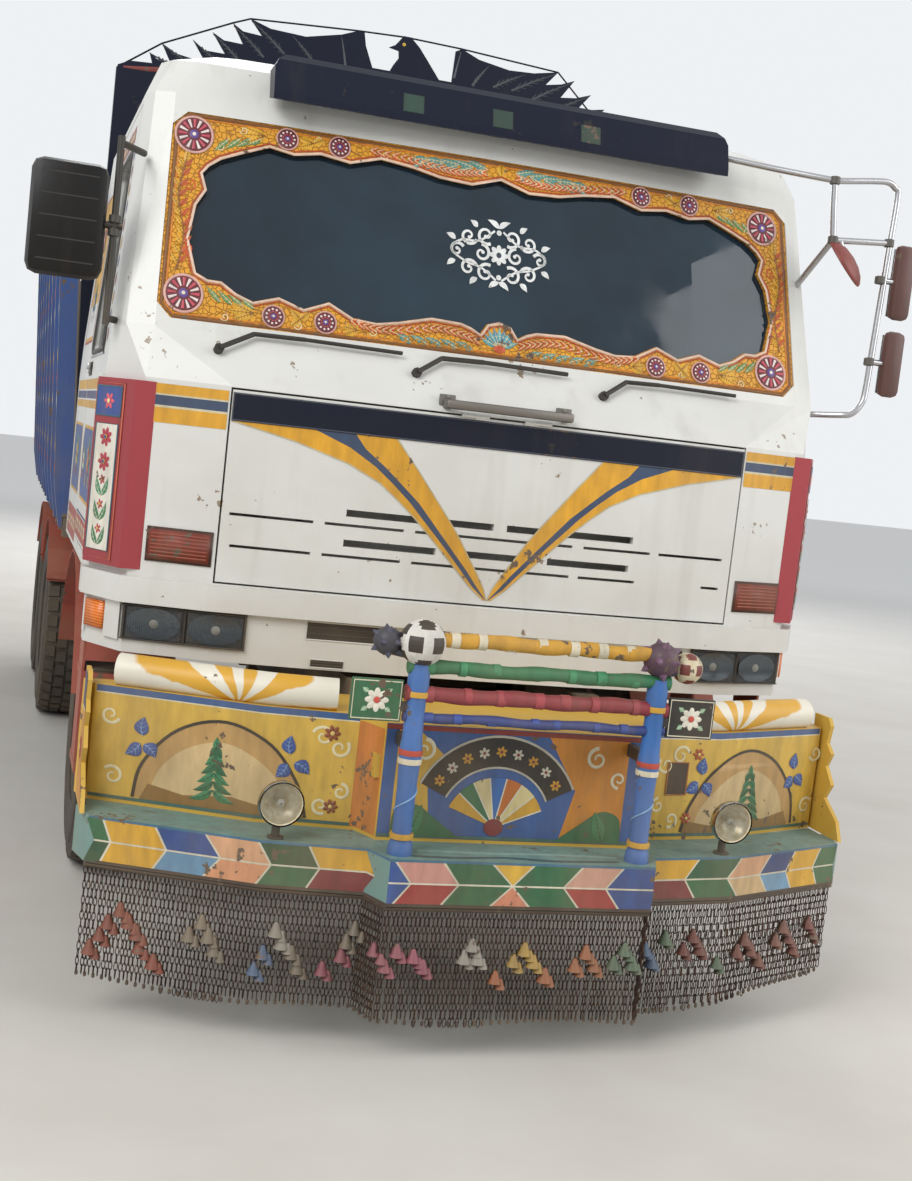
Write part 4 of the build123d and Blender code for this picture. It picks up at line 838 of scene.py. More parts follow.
outer_edge = [
    (-1.085, 2.078), (-1.05, 2.042), (1.05, 2.042), (1.085, 2.078), (1.068, 2.655), (1.035, 2.689),
    (-1.035, 2.689), (-1.068, 2.655),
]
frame_art = Art("carved_frame", lambda x, z, lift: on_cab(x, z, lift - 0.004))
for line, wide, code, lift, height in (
    (grown(whole_edge, 0.004), 0.009, "#e3c4ae", 0.001, 0.0035),
    (grown(whole_edge, 0.013), 0.005, "#b4431f", 0.001, 0.002),
    (outer_edge, 0.012, "#7c4a12", 0.0005, 0.004),
    (grown(outer_edge, 0.010), 0.005, "#d97f24", 0.0008, 0.002),
):
    frame_art.stroke(line, wide, code, lift, height, closed=True)
for x, z, radius in (
    (-1.015, 2.625, 0.061), (-1.02, 2.115, 0.061), (0.985, 2.62, 0.06), (1.005, 2.112, 0.061),
):
    roundel(frame_art, (x, z), radius, True)
for place in (
    (-0.72, 2.656), (-0.55, 2.656), (-0.74, 2.078), (-0.575, 2.08), (0.51, 2.656), (0.695, 2.656),
    (0.56, 2.078), (0.73, 2.08),
):
    roundel(frame_art, place, 0.036, False)
gold, rib, flame, pale = "#e6b02c", "#8a5310", "#cf5a24", "#e7d3a2"
green_leaf, teal_leaf = "#5f8b52", "#4c8f8a"
for side in (-1, 1):

    def carved_leaf(x0, z0, x1, z1, *look):
        frame_art.leaf((side * x0, z0), (side * x1, z1), *look)

    # Feather leaves and braids by the middle, above and below
    for n in range(5):
        x = 0.05 + 0.05 * n
        carved_leaf(x, 2.662, x + 0.07, 2.682 - 0.006 * n, 0.024, teal_leaf, pale, 5)
        carved_leaf(x, 2.66, x + 0.062, 2.64 - 0.003 * n, 0.02, teal_leaf, pale, 5)
        carved_leaf(x + 0.04, 2.052, x + 0.10, 2.076, 0.022, teal_leaf, pale, 5)
    for line, wide, code, edge in (
        ([(0.46, 2.664), (0.3, 2.652), (0.16, 2.636), (0.05, 2.65)], 0.026, flame, pale),
        ([(0.50, 2.098), (0.38, 2.08), (0.2, 2.108), (0.07, 2.085)], 0.026, flame, pale),
        ([(0.36, 2.064), (0.25, 2.058), (0.1, 2.062)], 0.016, gold, rib),
    ):
        braid(frame_art, mirrored(side, line), wide, code, edge)
    # Leaves that fan out beside the rosettes
    for x, z, tips in (
        (0.635, 2.655, ((0.05, 0.012), (0.045, -0.02), (-0.035, 0.018))),
        (0.79, 2.655, ((0.07, 0.02), (0.08, -0.005), (0.06, -0.03))),
        (0.655, 2.08, ((0.03, 0.028), (0.03, -0.026), (-0.03, 0.028))),
        (0.80, 2.08, ((0.07, 0.025), (0.085, 0.0), (0.065, -0.026))),
        (0.47, 2.068, ((0.05, 0.008), (0.045, -0.016), (0.03, 0.02))),
    ):
        for dx, dz in tips:
            carved_leaf(x, z, x + dx, z + dz, 0.026, gold, rib, 6)
    for n in range(4):
        x = 0.80 + 0.035 * n
        carved_leaf(x, 2.645 - 0.006 * n, x + 0.045, 2.618 - 0.012 * n, 0.017, green_leaf, pale, 4)
        carved_leaf(x, 2.095 + 0.002 * n, x + 0.045, 2.122 + 0.008 * n, 0.017, green_leaf, pale, 4)
    # Upright stems of leaves on the sides
    stem = smooth(mirrored(side, [(1.045, 2.19), (1.03, 2.3), (1.052, 2.42), (1.035, 2.54)]), 8)
    frame_art.stroke(stem, 0.006, rib, 0.001, 0.002)
    for x, z in stem[2:-2:2]:
        for lean, code in ((-1, gold), (1, flame)):
            frame_art.leaf((x, z), (x + lean * 0.026, z + 0.03), 0.014, code, rib, 4)
    carved_leaf(1.035, 2.53, 1.03, 2.585, 0.02, gold, rib, 5)
    for z in (2.255, 2.46):
        frame_art.stroke(spiral((side * 1.02, z), 0.02, 1.3, 90, 0.15, side), 0.005, flame, 0.001, 0.002)
    for x, z in (
        (0.40, 2.652), (0.62, 2.672), (0.86, 2.664), (0.93, 2.60), (0.42, 2.07), (0.66, 2.06), (0.89, 2.058),
    ):
        frame_art.stroke(spiral((side * x, z), 0.014, 1.2, 200, 0.15, -side), 0.004, pale, 0.0015, 0.0015)
# Shell over the bottom middle
for n in range(9):
    angle = math.radians(20 + 140 * n / 8)
    code = "#2f7f9a" if n % 2 else "#54a7ae"
    tip = polar((0, 2.072), 0.068, 0.068, angle)
    frame_art.leaf((0.012 * math.cos(angle), 2.075), tip, 0.017, code, pale, 3)
frame_art.disc((0, 2.068), 0.02, 0.014, "#c9502a", 0.003, 0.004)
frame_art.leaf((0.0, 2.688), (0.0, 2.642), 0.03, gold, rib, 5)
frame_art.build("chassis", "carved_yellow", cuts=cab_cuts)

# White scroll ornament on the glass
medal = Art("glass_ornament", lambda x, z, lift: on_cab(x, z, lift - 0.0195))
cream = "#e6e8e6"
medal_z = 2.385
for side in (-1, 1):
    for dx, dz, wide, start, turn in (
        (0.045, 0.062, 0.032, 240, 1), (0.105, 0.052, 0.03, 200, 1), (0.145, 0.0, 0.026, 150, -1),
        (0.105, -0.055, 0.03, 160, -1), (0.045, -0.066, 0.032, 120, -1), (0.06, 0.0, 0.03, 90, 1),
    ):
        start = start if side > 0 else 180 - start
        curl = spiral((side * dx, medal_z + dz), wide, 1.15, start, 0.18, turn * side)
        medal.stroke(curl, (0.011, 0.006), cream, 0.0006)
        medal.disc(curl[-1], 0.006, 0.006, cream, 0.0008)
    for x0, z0, x1, z1 in (
        (0.0, 0.09, 0.04, 0.115), (0.075, 0.085, 0.10, 0.105), (0.15, 0.035, 0.182, 0.05),
        (0.15, -0.035, 0.178, -0.055), (0.075, -0.085, 0.10, -0.11), (0.0, -0.09, 0.035, -0.115),
    ):
        base, tip = (side * x0, medal_z + z0), (side * x1, medal_z + z1)
        medal.leaf(base, tip, 0.018, cream, cream, 2, 0.1 * side, 0.0006, 0.0004)
    line = [(0.01, 2.30), (0.06, 2.335), (0.115, 2.35), (0.165, 2.385), (0.13, 2.42), (0.07, 2.425), (0.015, 2.465)]
    medal.stroke(smooth(mirrored(side, line)), 0.007, cream, 0.0006)
flower(medal, (0, medal_z), 0.034, cream, "#2a3a48", 8, 0.0008, 0, 0.0003)
for dz in (0.075, -0.075):
    medal.disc((0, medal_z + dz), 0.009, 0.009, cream, 0.0008)
medal.build("chassis", "glass", cuts=cab_cuts)

# Faint green squares on the visor
visor_art = Art("visor_patches", onto("visor", (0, front_y - 0.3, 0), (1, 0, 0), (0, 0, 1), (0, 1, 0)))
for x in (-0.335, -0.03, 0.28):
    for dx, dz, code in ((0, 0, "#12302a"), (0.004, 0.002, "#153a30")):
        visor_art.fill(box(x - 0.035 + dx, 2.79 + dz, x + 0.035 - dx, 2.85 - dz), code, 0.001 + dz / 10)
visor_art.build("chassis", "visor_navy")

# Painted corner panels
for side, name in both_sides:
    across = Vector((0.3 * side, 0.95, 0)).normalized()
    toward = Vector((-0.95 * side, 0.3, 0)).normalized()
    start = in_place(side * 1.236, 0.162, 0) - toward * 0.5
    panel = Art(f"corner_painting_{name}", onto("corner_panels", start, across, (0, 0, 1), toward, 0.5))

    def field(share, z0, z1):
        return box(-0.078 * share, z0, 0.078 * share, z1)

    panel.fill(field(1.0, 1.27, 1.82), "#8f2b2c", 0.0012)
    panel.fill(field(0.72, 1.30, 1.69), paper, 0.0018)
    panel.fill(field(0.8, 1.715, 1.805), "#2b4b8f", 0.0018)
    for share, z0, z1, code in (
        (0.72, 1.30, 1.69, "#1f5c74"), (0.8, 1.715, 1.805, "#1f5c74"), (0.95, 1.275, 1.815, "#d8654a"),
    ):
        panel.stroke(field(share, z0, z1), 0.006, code, 0.0022, 0.001, closed=True)
    for n, code in enumerate((moss, moss, "#2a8a5a", "#b8324a", "#b8324a")):
        z = 1.345 + 0.076 * n
        if n < 3:
            for dx, bend in ((-0.03, 0.1), (0.03, -0.1)):
                panel.leaf((0, z - 0.03), (dx, z + 0.03), 0.022, code, paper, 4, bend, 0.002, 0.0012)
            flower(panel, (0, z + 0.02), 0.016, "#b8324a", "#e3b53a", 5, 0.0024)
        else:
            flower(panel, (0, z), 0.03, code, "#e3b53a", 7, 0.0022)
            panel.disc((0, z), 0.006, 0.006, "#2b4b8f", 0.006, 0.001)
    flower(panel, (0, 1.76), 0.026, "#d95a70", "#e9d7a0", 6, 0.0022)
    panel.build("chassis", "corner_maroon")


# Painted bumper: ledge, chevrons and panels
ledge = Art("ledge_paint", lambda x, y, lift: in_place(x, y, 0.5902 + lift))
plan = mirrored(-1, band_plan[:0:-1]) + list(band_plan[1:])
inner = [(x, y + 0.197) for x, y in plan]
for loop in zip(plan, plan[1:], inner[1:], inner):
    ledge.fill(loop, "#6e958f", 0.0003)
for points, code in (
    ([(-0.33, -0.66), (-0.2, -0.665), (-0.05, -0.65), (0.1, -0.668), (0.3, -0.655)], "#39565c"),
    ([(-0.3, -0.60), (-0.1, -0.61), (0.12, -0.6), (0.31, -0.612)], "#8fb0a8"),
):
    ledge.stroke(smooth(points, 5), 0.02, code, 0.0006)
ledge.build("chassis", "bumper_paint")

band_art = Art("bumper_chevrons", on_bumper(0.0))
low, middle, high = 0.459, 0.5225, 0.586
amber_paint, peach, green, deep, wine = "#dba62a", "#d8a47c", "#16633f", "#1d4a8c", "#a02c30"
# For each part: its boundaries' places at the top and at the middle, the colours above, the colours below
for edges, above, below in (
    (
        (
            (-1.205, -1.18), (-1.16, -1.135), (-1.02, -0.985), (-0.885, -0.84), (-0.745, -0.705),
            (-0.605, -0.57), (-0.445, -0.425),
        ),
        (green, amber_paint, deep, peach, "#1d4d33", amber_paint),
        ("#1d4d33", amber_paint, "#5f8fb0", "#dd9a70", green, "#7a1f2c"),
    ),
    (
        (
            (-0.40, -0.40), (-0.385, -0.335), (-0.245, -0.195), (-0.1, -0.035), (0.025, -0.035),
            (0.175, 0.12), (0.3, 0.25), (0.40, 0.40),
        ),
        (deep, "#d3968a", green, "#e0b23c", green, "#d3a08a", deep),
        (deep, wine, green, "#d88a6a", green, wine, deep),
    ),
    (
        ((0.445, 0.43), (0.6, 0.555), (0.76, 0.71), (0.89, 0.845), (1.0, 0.965), (1.12, 1.09), (1.2, 1.19)),
        (amber_paint, "#14563a", peach, "#1f3f78", amber_paint, green),
        ("#7a1f2c", green, "#d2b282", "#6f9fc0", amber_paint, green),
    ),
):
    for (t0, m0), (t1, m1), up, down in zip(edges, edges[1:], above, below):
        band_art.fill([(m0, middle), (m1, middle), (t1, high), (t0, high)], up, 0.0003)
        band_art.fill([(t0, low), (t1, low), (m1, middle), (m0, middle)], down, 0.0003)
    for top, tip in edges[1:-1]:
        band_art.stroke([(top, high), (tip, middle), (top, low)], 0.006, "#d9d2ba", 0.0005)
    band_art.stroke([(edges[0][1], middle), (edges[-1][1], middle)], 0.005, "#d9d2ba", 0.0006)
for z, wide, code in ((high + 0.001, 0.007, "#356f8c"), (low + 0.001, 0.009, "#3a2a24")):
    band_art.stroke([(-1.2, z), (1.2, z)], wide, code, 0.0007)
band_art.build("chassis", "bumper_paint", cuts=band_cuts)

pine, pine_light, pine_vein, slate = "#1f6b45", "#2c8456", "#155036", "#3c6a62"
hill, inner_hill = (
    smooth(points)
    for points in (
        [(1.07, 0.615), (1.05, 0.72), (0.96, 0.83), (0.83, 0.872), (0.70, 0.82), (0.615, 0.71), (0.585, 0.615)],
        [(1.03, 0.615), (1.0, 0.71), (0.93, 0.78), (0.83, 0.81), (0.73, 0.77), (0.65, 0.69), (0.63, 0.615)],
    )
)
hill_foot = [(1.05, 0.612), (1.03, 0.66), (0.93, 0.64), (0.80, 0.655), (0.69, 0.635), (0.60, 0.65), (0.59, 0.612)]
panel_art = Art("bumper_paintings", on_bumper(panel_back))
for side in (-1, 1):
    shift = 0.0 if side < 0 else 0.035
    a, b = span(side, 0.455, 1.195)
    panel_art.fill(box(a, 0.6, b, 0.915), "#dcb346", 0.0006)
    panel_art.fill(box(a, 0.915, b, 0.934), "#27588f", 0.0008)
    panel_art.stroke([(a, 0.913), (b, 0.913)], 0.004, "#e8dcb4", 0.0012)
    panel_art.stroke([(a, 0.606), (b, 0.606)], 0.010, slate, 0.0012)

    def put(x, z):
        return (side * (x + shift), z)

    for line, code, lift in (
        (hill, "#c49a5c", 0.0012), (inner_hill, "#d8ba86", 0.0016), (hill_foot, "#8f6a34", 0.0020),
    ):
        panel_art.fill([put(*p) for p in line], code, lift)
    panel_art.stroke([put(*p) for p in hill], 0.009, "#1d1a16", 0.0024)
    # Pine
    for n in range(6):
        z = 0.645 + 0.026 * n
        wide = 0.062 - 0.0088 * n
        code = pine if n % 2 else pine_light
        for lean in (-1, 1):
            base, tip = put(0.85, z + 0.022), put(0.85 + lean * wide, z - 0.010)
            panel_art.leaf(base, tip, 0.022, code, pine_vein, 4, 0.1 * lean, 0.0026, 0.0012)
    panel_art.leaf(put(0.85, 0.785), put(0.85, 0.825), 0.02, pine_light, pine_vein, 3, 0, 0.0028, 0.001)
    # Blue leaves in pairs on the arch
    for x, z, dx, dz in (
        (1.055, 0.80, 0.0, 0.055), (1.06, 0.775, 0.04, -0.035), (1.05, 0.775, -0.035, -0.035),
        (0.645, 0.80, 0.0, 0.055), (0.63, 0.775, -0.045, -0.03), (0.65, 0.77, 0.03, -0.04),
    ):
        panel_art.leaf(put(x, z), put(x + dx, z + dz), 0.04, "#234f9a", "#8fb5dc", 4, 0.12, 0.0028, 0.002)
    # Cream curls and brown flowers by the middle
    for x, z, wide, start in (
        (0.555, 0.86, 0.032, 20), (0.505, 0.83, 0.03, 140), (0.545, 0.655, 0.026, 240),
        (1.13, 0.67, 0.03, 40), (1.15, 0.85, 0.028, 200), (0.49, 0.70, 0.025, 90),
    ):
        curl = [put(*p) for p in spiral((x, z), wide, 1.2, start, 0.2)]
        panel_art.stroke(curl, (0.010, 0.005), "#eadfb2", 0.0018, 0.0006)
    if side < 0:
        for x, z, wide in ((0.53, 0.872, 0.024), (0.515, 0.655, 0.022)):
            flower(panel_art, put(x, z), wide, "#8a4524", "#e0c070", 7, 0.0028)
    else:
        loop = box(0.548, 0.735, 0.622, 0.838)
        panel_art.fill(loop, "#2b1c14", 0.0022)
        panel_art.stroke(loop, 0.006, "#a8621f", 0.0026, 0.001, closed=True)
        for place in ((0.655, 0.865), (0.635, 0.66)):
            flower(panel_art, place, 0.02, "#b4502a", "#e8d070", 6, 0.0028)
    panel_art.fill(mirrored(side, box(0.402, 0.6, 0.455, 0.915)), "#cf7a28", 0.0004)
# Middle: a fan under a black arch
middle_half = 0.398
panel_art.fill(box(-middle_half, 0.6, middle_half, 0.934), "#2a5c9c", 0.0006)
panel_art.fill([(0.16, 0.6), (0.36, 0.6), (0.36, 0.92), (0.10, 0.92), (0.15, 0.84), (0.2, 0.76)], "#d98a24", 0.0010)
panel_art.fill(
    [(-0.36, 0.6), (-0.24, 0.6), (-0.26, 0.76), (-0.22, 0.85), (-0.30, 0.92), (-0.36, 0.92)], "#dcae3c", 0.0010
)
arch_middle, fan_root = (-0.045, 0.655), (-0.045, 0.64)
arch_out = arc(arch_middle, 0.262, 0.258, 25, 155, 22)
arch_in = arc(arch_middle, 0.172, 0.165, 155, 25, 22)
panel_art.fill([*arch_out, *arch_in], "#171614", 0.0016)
panel_art.stroke(arch_out, 0.007, "#c7c2b0", 0.0022)
panel_art.stroke(arch_in, 0.006, "#c7c2b0", 0.0022)
for n, code in enumerate((gilt, "#e8d79a", "#c96f24", "#2d6ab0", "#e0cf9a", "#17704a", gilt)):
    wedge = arc(fan_root, 0.155, 0.15, 22 + 136 * n / 7, 22 + 136 * (n + 1) / 7, 5)
    panel_art.fill([fan_root, *wedge], code, 0.0020)
    panel_art.stroke([fan_root, wedge[0]], 0.004, "#e8e2cc", 0.0024)
panel_art.disc(fan_root, 0.03, 0.026, "#7c1f2a", 0.0028, 0.001)
for n in range(9):
    place = polar(arch_middle, 0.217, 0.212, math.radians(34 + 112 * n / 8))
    flower(panel_art, place, 0.017, "#d8d2bd" if n % 2 else "#cf9a30", "#8a1f2a", 6, 0.0022, 20 * n, 0.0006)
for side in (-1, 1):
    slope = smooth(mirrored(side, [(0.36, 0.605), (0.35, 0.68), (0.29, 0.70), (0.22, 0.655), (0.15, 0.605)]))
    panel_art.fill(slope, pine, 0.0024)
    panel_art.leaf((side * 0.30, 0.61), (side * 0.27, 0.70), 0.04, pine_light, pine_vein, 6, 0, 0.0028, 0.001)
    for curl, wide in (
        (spiral((side * 0.27 - 0.01, 0.86), 0.034, 1.3, 90, 0.2, side), 0.012),
        (spiral((side * 0.335, 0.80), 0.026, 1.2, 270, 0.2, -side), 0.010),
    ):
        panel_art.stroke(curl, (wide, 0.005), "#efe6c2", 0.002, 0.0006)
panel_art.stroke([(-middle_half, 0.925), (middle_half, 0.925)], 0.014, "#8a2a22", 0.002)
panel_art.stroke([(-middle_half, 0.606), (middle_half, 0.606)], 0.010, slate, 0.002)
panel_art.build("chassis", "bumper_paint", cuts=band_cuts)

# Scroll plates' paint on both ends
scroll = [
    (-0.085, 0.60), (-0.085, 0.965), (-0.165, 0.965), (-0.183, 0.948), (-0.17, 0.89), (-0.207, 0.86),
    (-0.182, 0.815), (-0.232, 0.76), (-0.197, 0.71), (-0.29, 0.655), (-0.32, 0.60),
]
for side, name in both_sides:
    plate = Art(f"scroll_plate_paint_{name}", lambda y, z, lift: in_place(side * (1.225 + lift), y, z))
    plate.fill(scroll, "#d9902a", 0.0006)
    plate.fill([p for p in scroll if p[1] > 0.85] + [(-0.085, 0.86)], "#1f3566", 0.001)
    plate.stroke([(-0.09, 0.86), (-0.2, 0.86)], 0.008, "#e6d9a8", 0.0014)
    flower(plate, (-0.135, 0.74), 0.035, "#b3302a", "#e8cf7a", 8, 0.0014)
    plate.build("chassis", "bumper_paint")


# Fat rolls along the bumper's wings, with painted rays
s = Shade("wing_rays")
far = s.math("ABSOLUTE", s.x)
angle = s.math("ARCTAN2", s.less(s.z, 0.925), s.less(far, 0.80))
wavy = s.plus(s.times(angle, 9.0), s.times(s.noise(14.0, 2.0), 1.6))
rays = s.mix(s.ramp(s.math("SINE", wavy), -0.12, 0.12), tone("#dda62a"), tone("#e9e3d2"))
rays = s.mix(s.ramp(far, 1.085, 1.1), rays, tone("#e9e3d2"))
ray_paint = s.finish(*weather(s, rays, 0.36, dust=0.2, mottle=0.14, chips=0.35, streaks=0.1))
for side, name in both_sides:
    roll = Art(f"wing_roll_{name}")
    line = smooth([(1.13, -0.13), (0.95, -0.207), (0.735, -0.300), (0.62, -0.325), (0.52, -0.34)])
    path = [Vector((side * x, y, 0.978)) for x, y in line]
    for beside, k in ((path[1], 0), (path[-2], -1)):
        path[k] = path[k] + (path[k] - beside).normalized() * 0.003
    roll.pipe(path, 0.0495, ray_paint, 24)
    roll.build("chassis", "bumper_paint", angle=50)

# Bull bar in painted wood and tube
bar_y = -0.64
post_x = 0.361
bar = Art("bull_bar_painted")
post_profile = (
    (0.590, 0.036), (0.60, 0.036), (0.62, 0.034), (0.635, 0.0275), (0.66, 0.0275), (0.78, 0.0275), (0.84, 0.030),
    (0.86, 0.032), (0.90, 0.032), (0.92, 0.029), (1.0, 0.0275), (1.03, 0.0275), (1.05, 0.031), (1.10, 0.031),
    (1.135, 0.027),
)
for side in (-1, 1):
    x = side * post_x
    bar.pipe([(x, bar_y, z) for z, _ in post_profile], [wide for _, wide in post_profile], "#2e6db4", 20)
    for z, code in ((0.636, gilt), (0.85, "#e6dcc0"), (0.875, "#c03a2c"), (1.04, gilt)):
        bar.rings((x, bar_y, z), ((0, 0.0335), (0.008, 0.0345), (0.016, 0.0335)), code)
    # Twisting line round each post
    twist = [(*polar((x, bar_y), 0.0282, 0.0282, 9 * n / 59), 0.66 + 0.17 * n / 59) for n in range(60)]
    bar.pipe(twist, 0.0028, "#7fb0dc", 6)
    bar.slab((x - 0.012, bar_y, 0.876), (x + 0.012, bar_y + 0.137, 0.914), "#2a2a2a", 0.003)


def knotty(z, radius, code, other, seed, half=0.395):
    """A tube with the waves and bands of hand-carved and painted wood."""
    rough = random.Random(seed)
    path, wide = [], []
    for n in range(41):
        t = n / 40
        x = -half + 2 * half * t
        path.append((x, bar_y + 0.002 * math.sin(11 * t), z + 0.0022 * math.sin(17 * t + seed)))
        wide.append(radius * (1 + 0.07 * math.sin(33 * t + seed) + 0.03 * rough.random()))
    bar.pipe(path, wide, code, 16)
    for n in range(7):
        x = -half * 0.9 + 1.8 * half * (n + 0.4 * rough.random()) / 7
        sections = ((0, radius * 1.06), (0.018 + 0.012 * rough.random(), radius * 1.09))
        bar.rings((x, bar_y, z), sections, other, (1, 0, 0), 16)


knotty(1.205, 0.021, "#dca32c", "#e9dfc4", 3, 0.33)
knotty(1.125, 0.020, "#1f7a52", "#2f9466", 5)
knotty(1.048, 0.022, "#8e2436", "#a83a48", 7)
knotty(0.982, 0.014, "#1d3a7c", "#2a4f9c", 9)
bar.build("chassis", "bumper_paint", angle=45, stands_for="bull_bar")

knobs = Art("bar_knobs")
golden = (1 + 5**0.5) / 2
corners = [
    Vector(v).normalized() for a in (-1, 1) for b in (-golden, golden) for v in ((0, a, b), (a, b, 0), (b, 0, a))
]


def knob(centre, radius, plain, spot=None, spikes=None):
    """A round knob with patches or spikes."""
    rows, cols = 18, 28
    centre = Vector(centre)
    around = []
    for r in range(rows + 1):
        tilt = -math.pi / 2 + math.pi * r / rows
        for c in range(cols):
            turn = 2 * math.pi * c / cols
            out = Vector((math.cos(tilt) * math.cos(turn), math.cos(tilt) * math.sin(turn), math.sin(tilt)))
            around.append(out * radius)
    for quad in grid(rows + 1, cols, flip=True, round_cols=True):
        middle = sum((around[n] for n in quad), Vector()) / 4
        near = max(middle.normalized().dot(k) for k in corners) > 0.925
        code = spot if spot and near else plain
        knobs.faces([centre + around[n] for n in quad], [(0, 1, 2, 3)], code)
    for k in corners if spikes else ():
        knobs.rings(centre + k * radius * 0.9, ((0, radius * 0.3), (radius * 0.42, 0.001)), spikes, k, 8)


beside_x, beside_y = 0.456, bar_y + 0.02  # the outer knob of each pair
knob((-post_x, bar_y, 1.192), 0.066, "#e9e6de", spot="#1f1d1e")
knob((-beside_x, beside_y, 1.187), 0.040, "#2b3142", spikes="#39415a")
knob((post_x, bar_y, 1.192), 0.052, "#4a2c48", spikes="#6a4668")
knob((beside_x, beside_y, 1.170), 0.046, "#ddd0ae", spot="#7a2a2a")
for side in (-1, 1):
    arm = [(post_x, bar_y, 1.152), (0.41, bar_y + 0.01, 1.158), (beside_x, beside_y, 1.165)]
    knobs.pipe(mirrored(side, arm), 0.013, "#26304a", 10)
made = knobs.build("chassis", "bumper_paint")
join_doubles(made)
smooth_by_angle(made, 50)

flags = Art("bar_plates")
flag_art = Art("bar_plate_flowers", lambda x, z, lift: in_place(x, bar_y - 0.0062 - lift, z))
flag_middle = 1.025
for side, code in ((-1, bottle), (1, "#1c1c1e")):
    for x0, x1, z0, z1, paint_code, round_off in (
        (0.402, 0.550, 0.966, 1.084, code, 0.003), (0.36, 0.41, 0.996, 1.024, "#2a2a2a", 0.002),
    ):
        flags.slab((side * x0, bar_y - 0.006, z0), (side * x1, bar_y + 0.006, z1), paint_code, round_off)
    x0, x1 = span(side, 0.408, 0.544)
    flag_art.stroke(box(x0, 0.972, x1, 1.078), 0.004, "#e4dcc0", 0.0003, closed=True)
    middle = (side * 0.476, flag_middle)
    flower(flag_art, middle, 0.034, "#e9e4d2", "#c9453a", 8, 0.0004)
    for n in range(4):
        angle = math.radians(45 + 90 * n)
        base, tip = polar(middle, 0.036, 0.03, angle), polar(middle, 0.06, 0.046, angle)
        flag_art.leaf(base, tip, 0.014, sage, "#e9e4d2", 3, 0, 0.0004, 0.0008)
flags.build("chassis", "bumper_paint")
flag_art.build("chassis", "bumper_paint")


# Chain fringe: linked strands with bells
s = Shade("chain_rust")
rust = s.cloud(7.0, 5.0, 0.35, 0.7, "#2c1f18", "#4c3527")
rust = s.mix(s.ramp(s.noise(60.0, 3.0), 0.5, 0.8), rust, tone("#6d4a33"))
chain_metal = s.finish(rust, 0.6, Metallic=0.4)
strand_step = 0.0128
hang_line = []  # each strand's x and y and the way it faces
for a, b in zip(plan, plan[1:]):
    length = math.hypot(b[0] - a[0], b[1] - a[1])
    count = max(1, round(length / strand_step))
    for n in range(count):
        t = (n + 0.5) / count
        x, y = (a[k] + (b[k] - a[k]) * t for k in (0, 1))
        hang_line.append((x, y + 0.018, math.atan2(b[1] - a[1], b[0] - a[0])))

pitch = 0.0225
link_long, link_wide, link_wire = pitch * 0.66, 0.0050, 0.0017
link_steps, wire_steps = 8, 3
link_faces = grid(link_steps, wire_steps, round_rows=True, round_cols=True)
verts, faces = [], []


def link(centre, turn):
    """One oval chain link in an upright plane turned about the vertical."""
    first = len(verts)
    across = Vector((math.cos(turn), math.sin(turn), 0))
    depth = Vector((-math.sin(turn), math.cos(turn), 0))
    up = Vector((0, 0, 1))
    for n in range(link_steps):
        angle = 2 * math.pi * n / link_steps
        out = across * math.cos(angle) + up * math.sin(angle)
        place = Vector(centre) + across * (link_wide * math.cos(angle)) + up * (link_long * math.sin(angle))
        for k in range(wire_steps):
            tilt = 2 * math.pi * k / wire_steps
            verts.append(tuple(place + out * (link_wire * math.cos(tilt)) + depth * (link_wire * math.sin(tilt))))
    faces.extend(tuple(first + n for n in quad) for quad in link_faces)


def rise(x):
    """How much higher the fringe's lower edge is towards the right end."""
    return 0.13 * max(0.0, x - 0.72) ** 1.2


for number, (x, y, turn) in enumerate(hang_line):
    # The right end is an open net with a lower edge that rises
    netted = min(1.0, max(0.0, (x - 0.50) / 0.08))
    bottom = 0.118 + 0.008 * math.sin(9 * x) + 0.006 * chance.random() + rise(x)
    drift = 0.0
    z = 0.441 - pitch / 2
    n = 0
    while z > bottom:
        drift += chance.uniform(-0.0006, 0.0006)
        wave = abs((z / 0.056 + 0.5 * (number % 2)) % 1 - 0.5) * 4 - 1
        along = drift + netted * 0.0062 * wave
        face = turn + (math.pi / 2 if n % 2 else 0) + chance.uniform(-0.25, 0.25)
        link(in_place(x + along * math.cos(turn), y + along * math.sin(turn), z), face)
        z -= pitch
        n += 1
mesh = bpy.data.meshes.new("chain_strands")
mesh.from_pydata(verts, [], faces)
mesh.shade_smooth()
mesh.materials.append(chain_metal)
strands = bpy.data.objects.new("chain_strands", mesh)
scene.collection.objects.link(strands)
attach(strands, "chassis")
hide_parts("chain_fringe")

bells = Art("fringe_bells")


def bell(x, z, size, code):
    y = min(hang_line, key=lambda p: abs(p[0] - x))[1]
    sides = ((0.0, 0.12), (-0.15, 0.22), (-0.55, 0.36), (-0.9, 0.52), (-1, 0.56), (-0.9, 0.42))
    bells.rings((x, y, z), [(size * a, size * b) for a, b in sides], code, sides=12)
    clapper = ((0, 0.1), (-0.3, 0.14), (-0.4, 0.04))
    bells.rings((x, y, z - size * 0.85), [(size * a, size * b) for a, b in clapper], "#2c2622", sides=8)
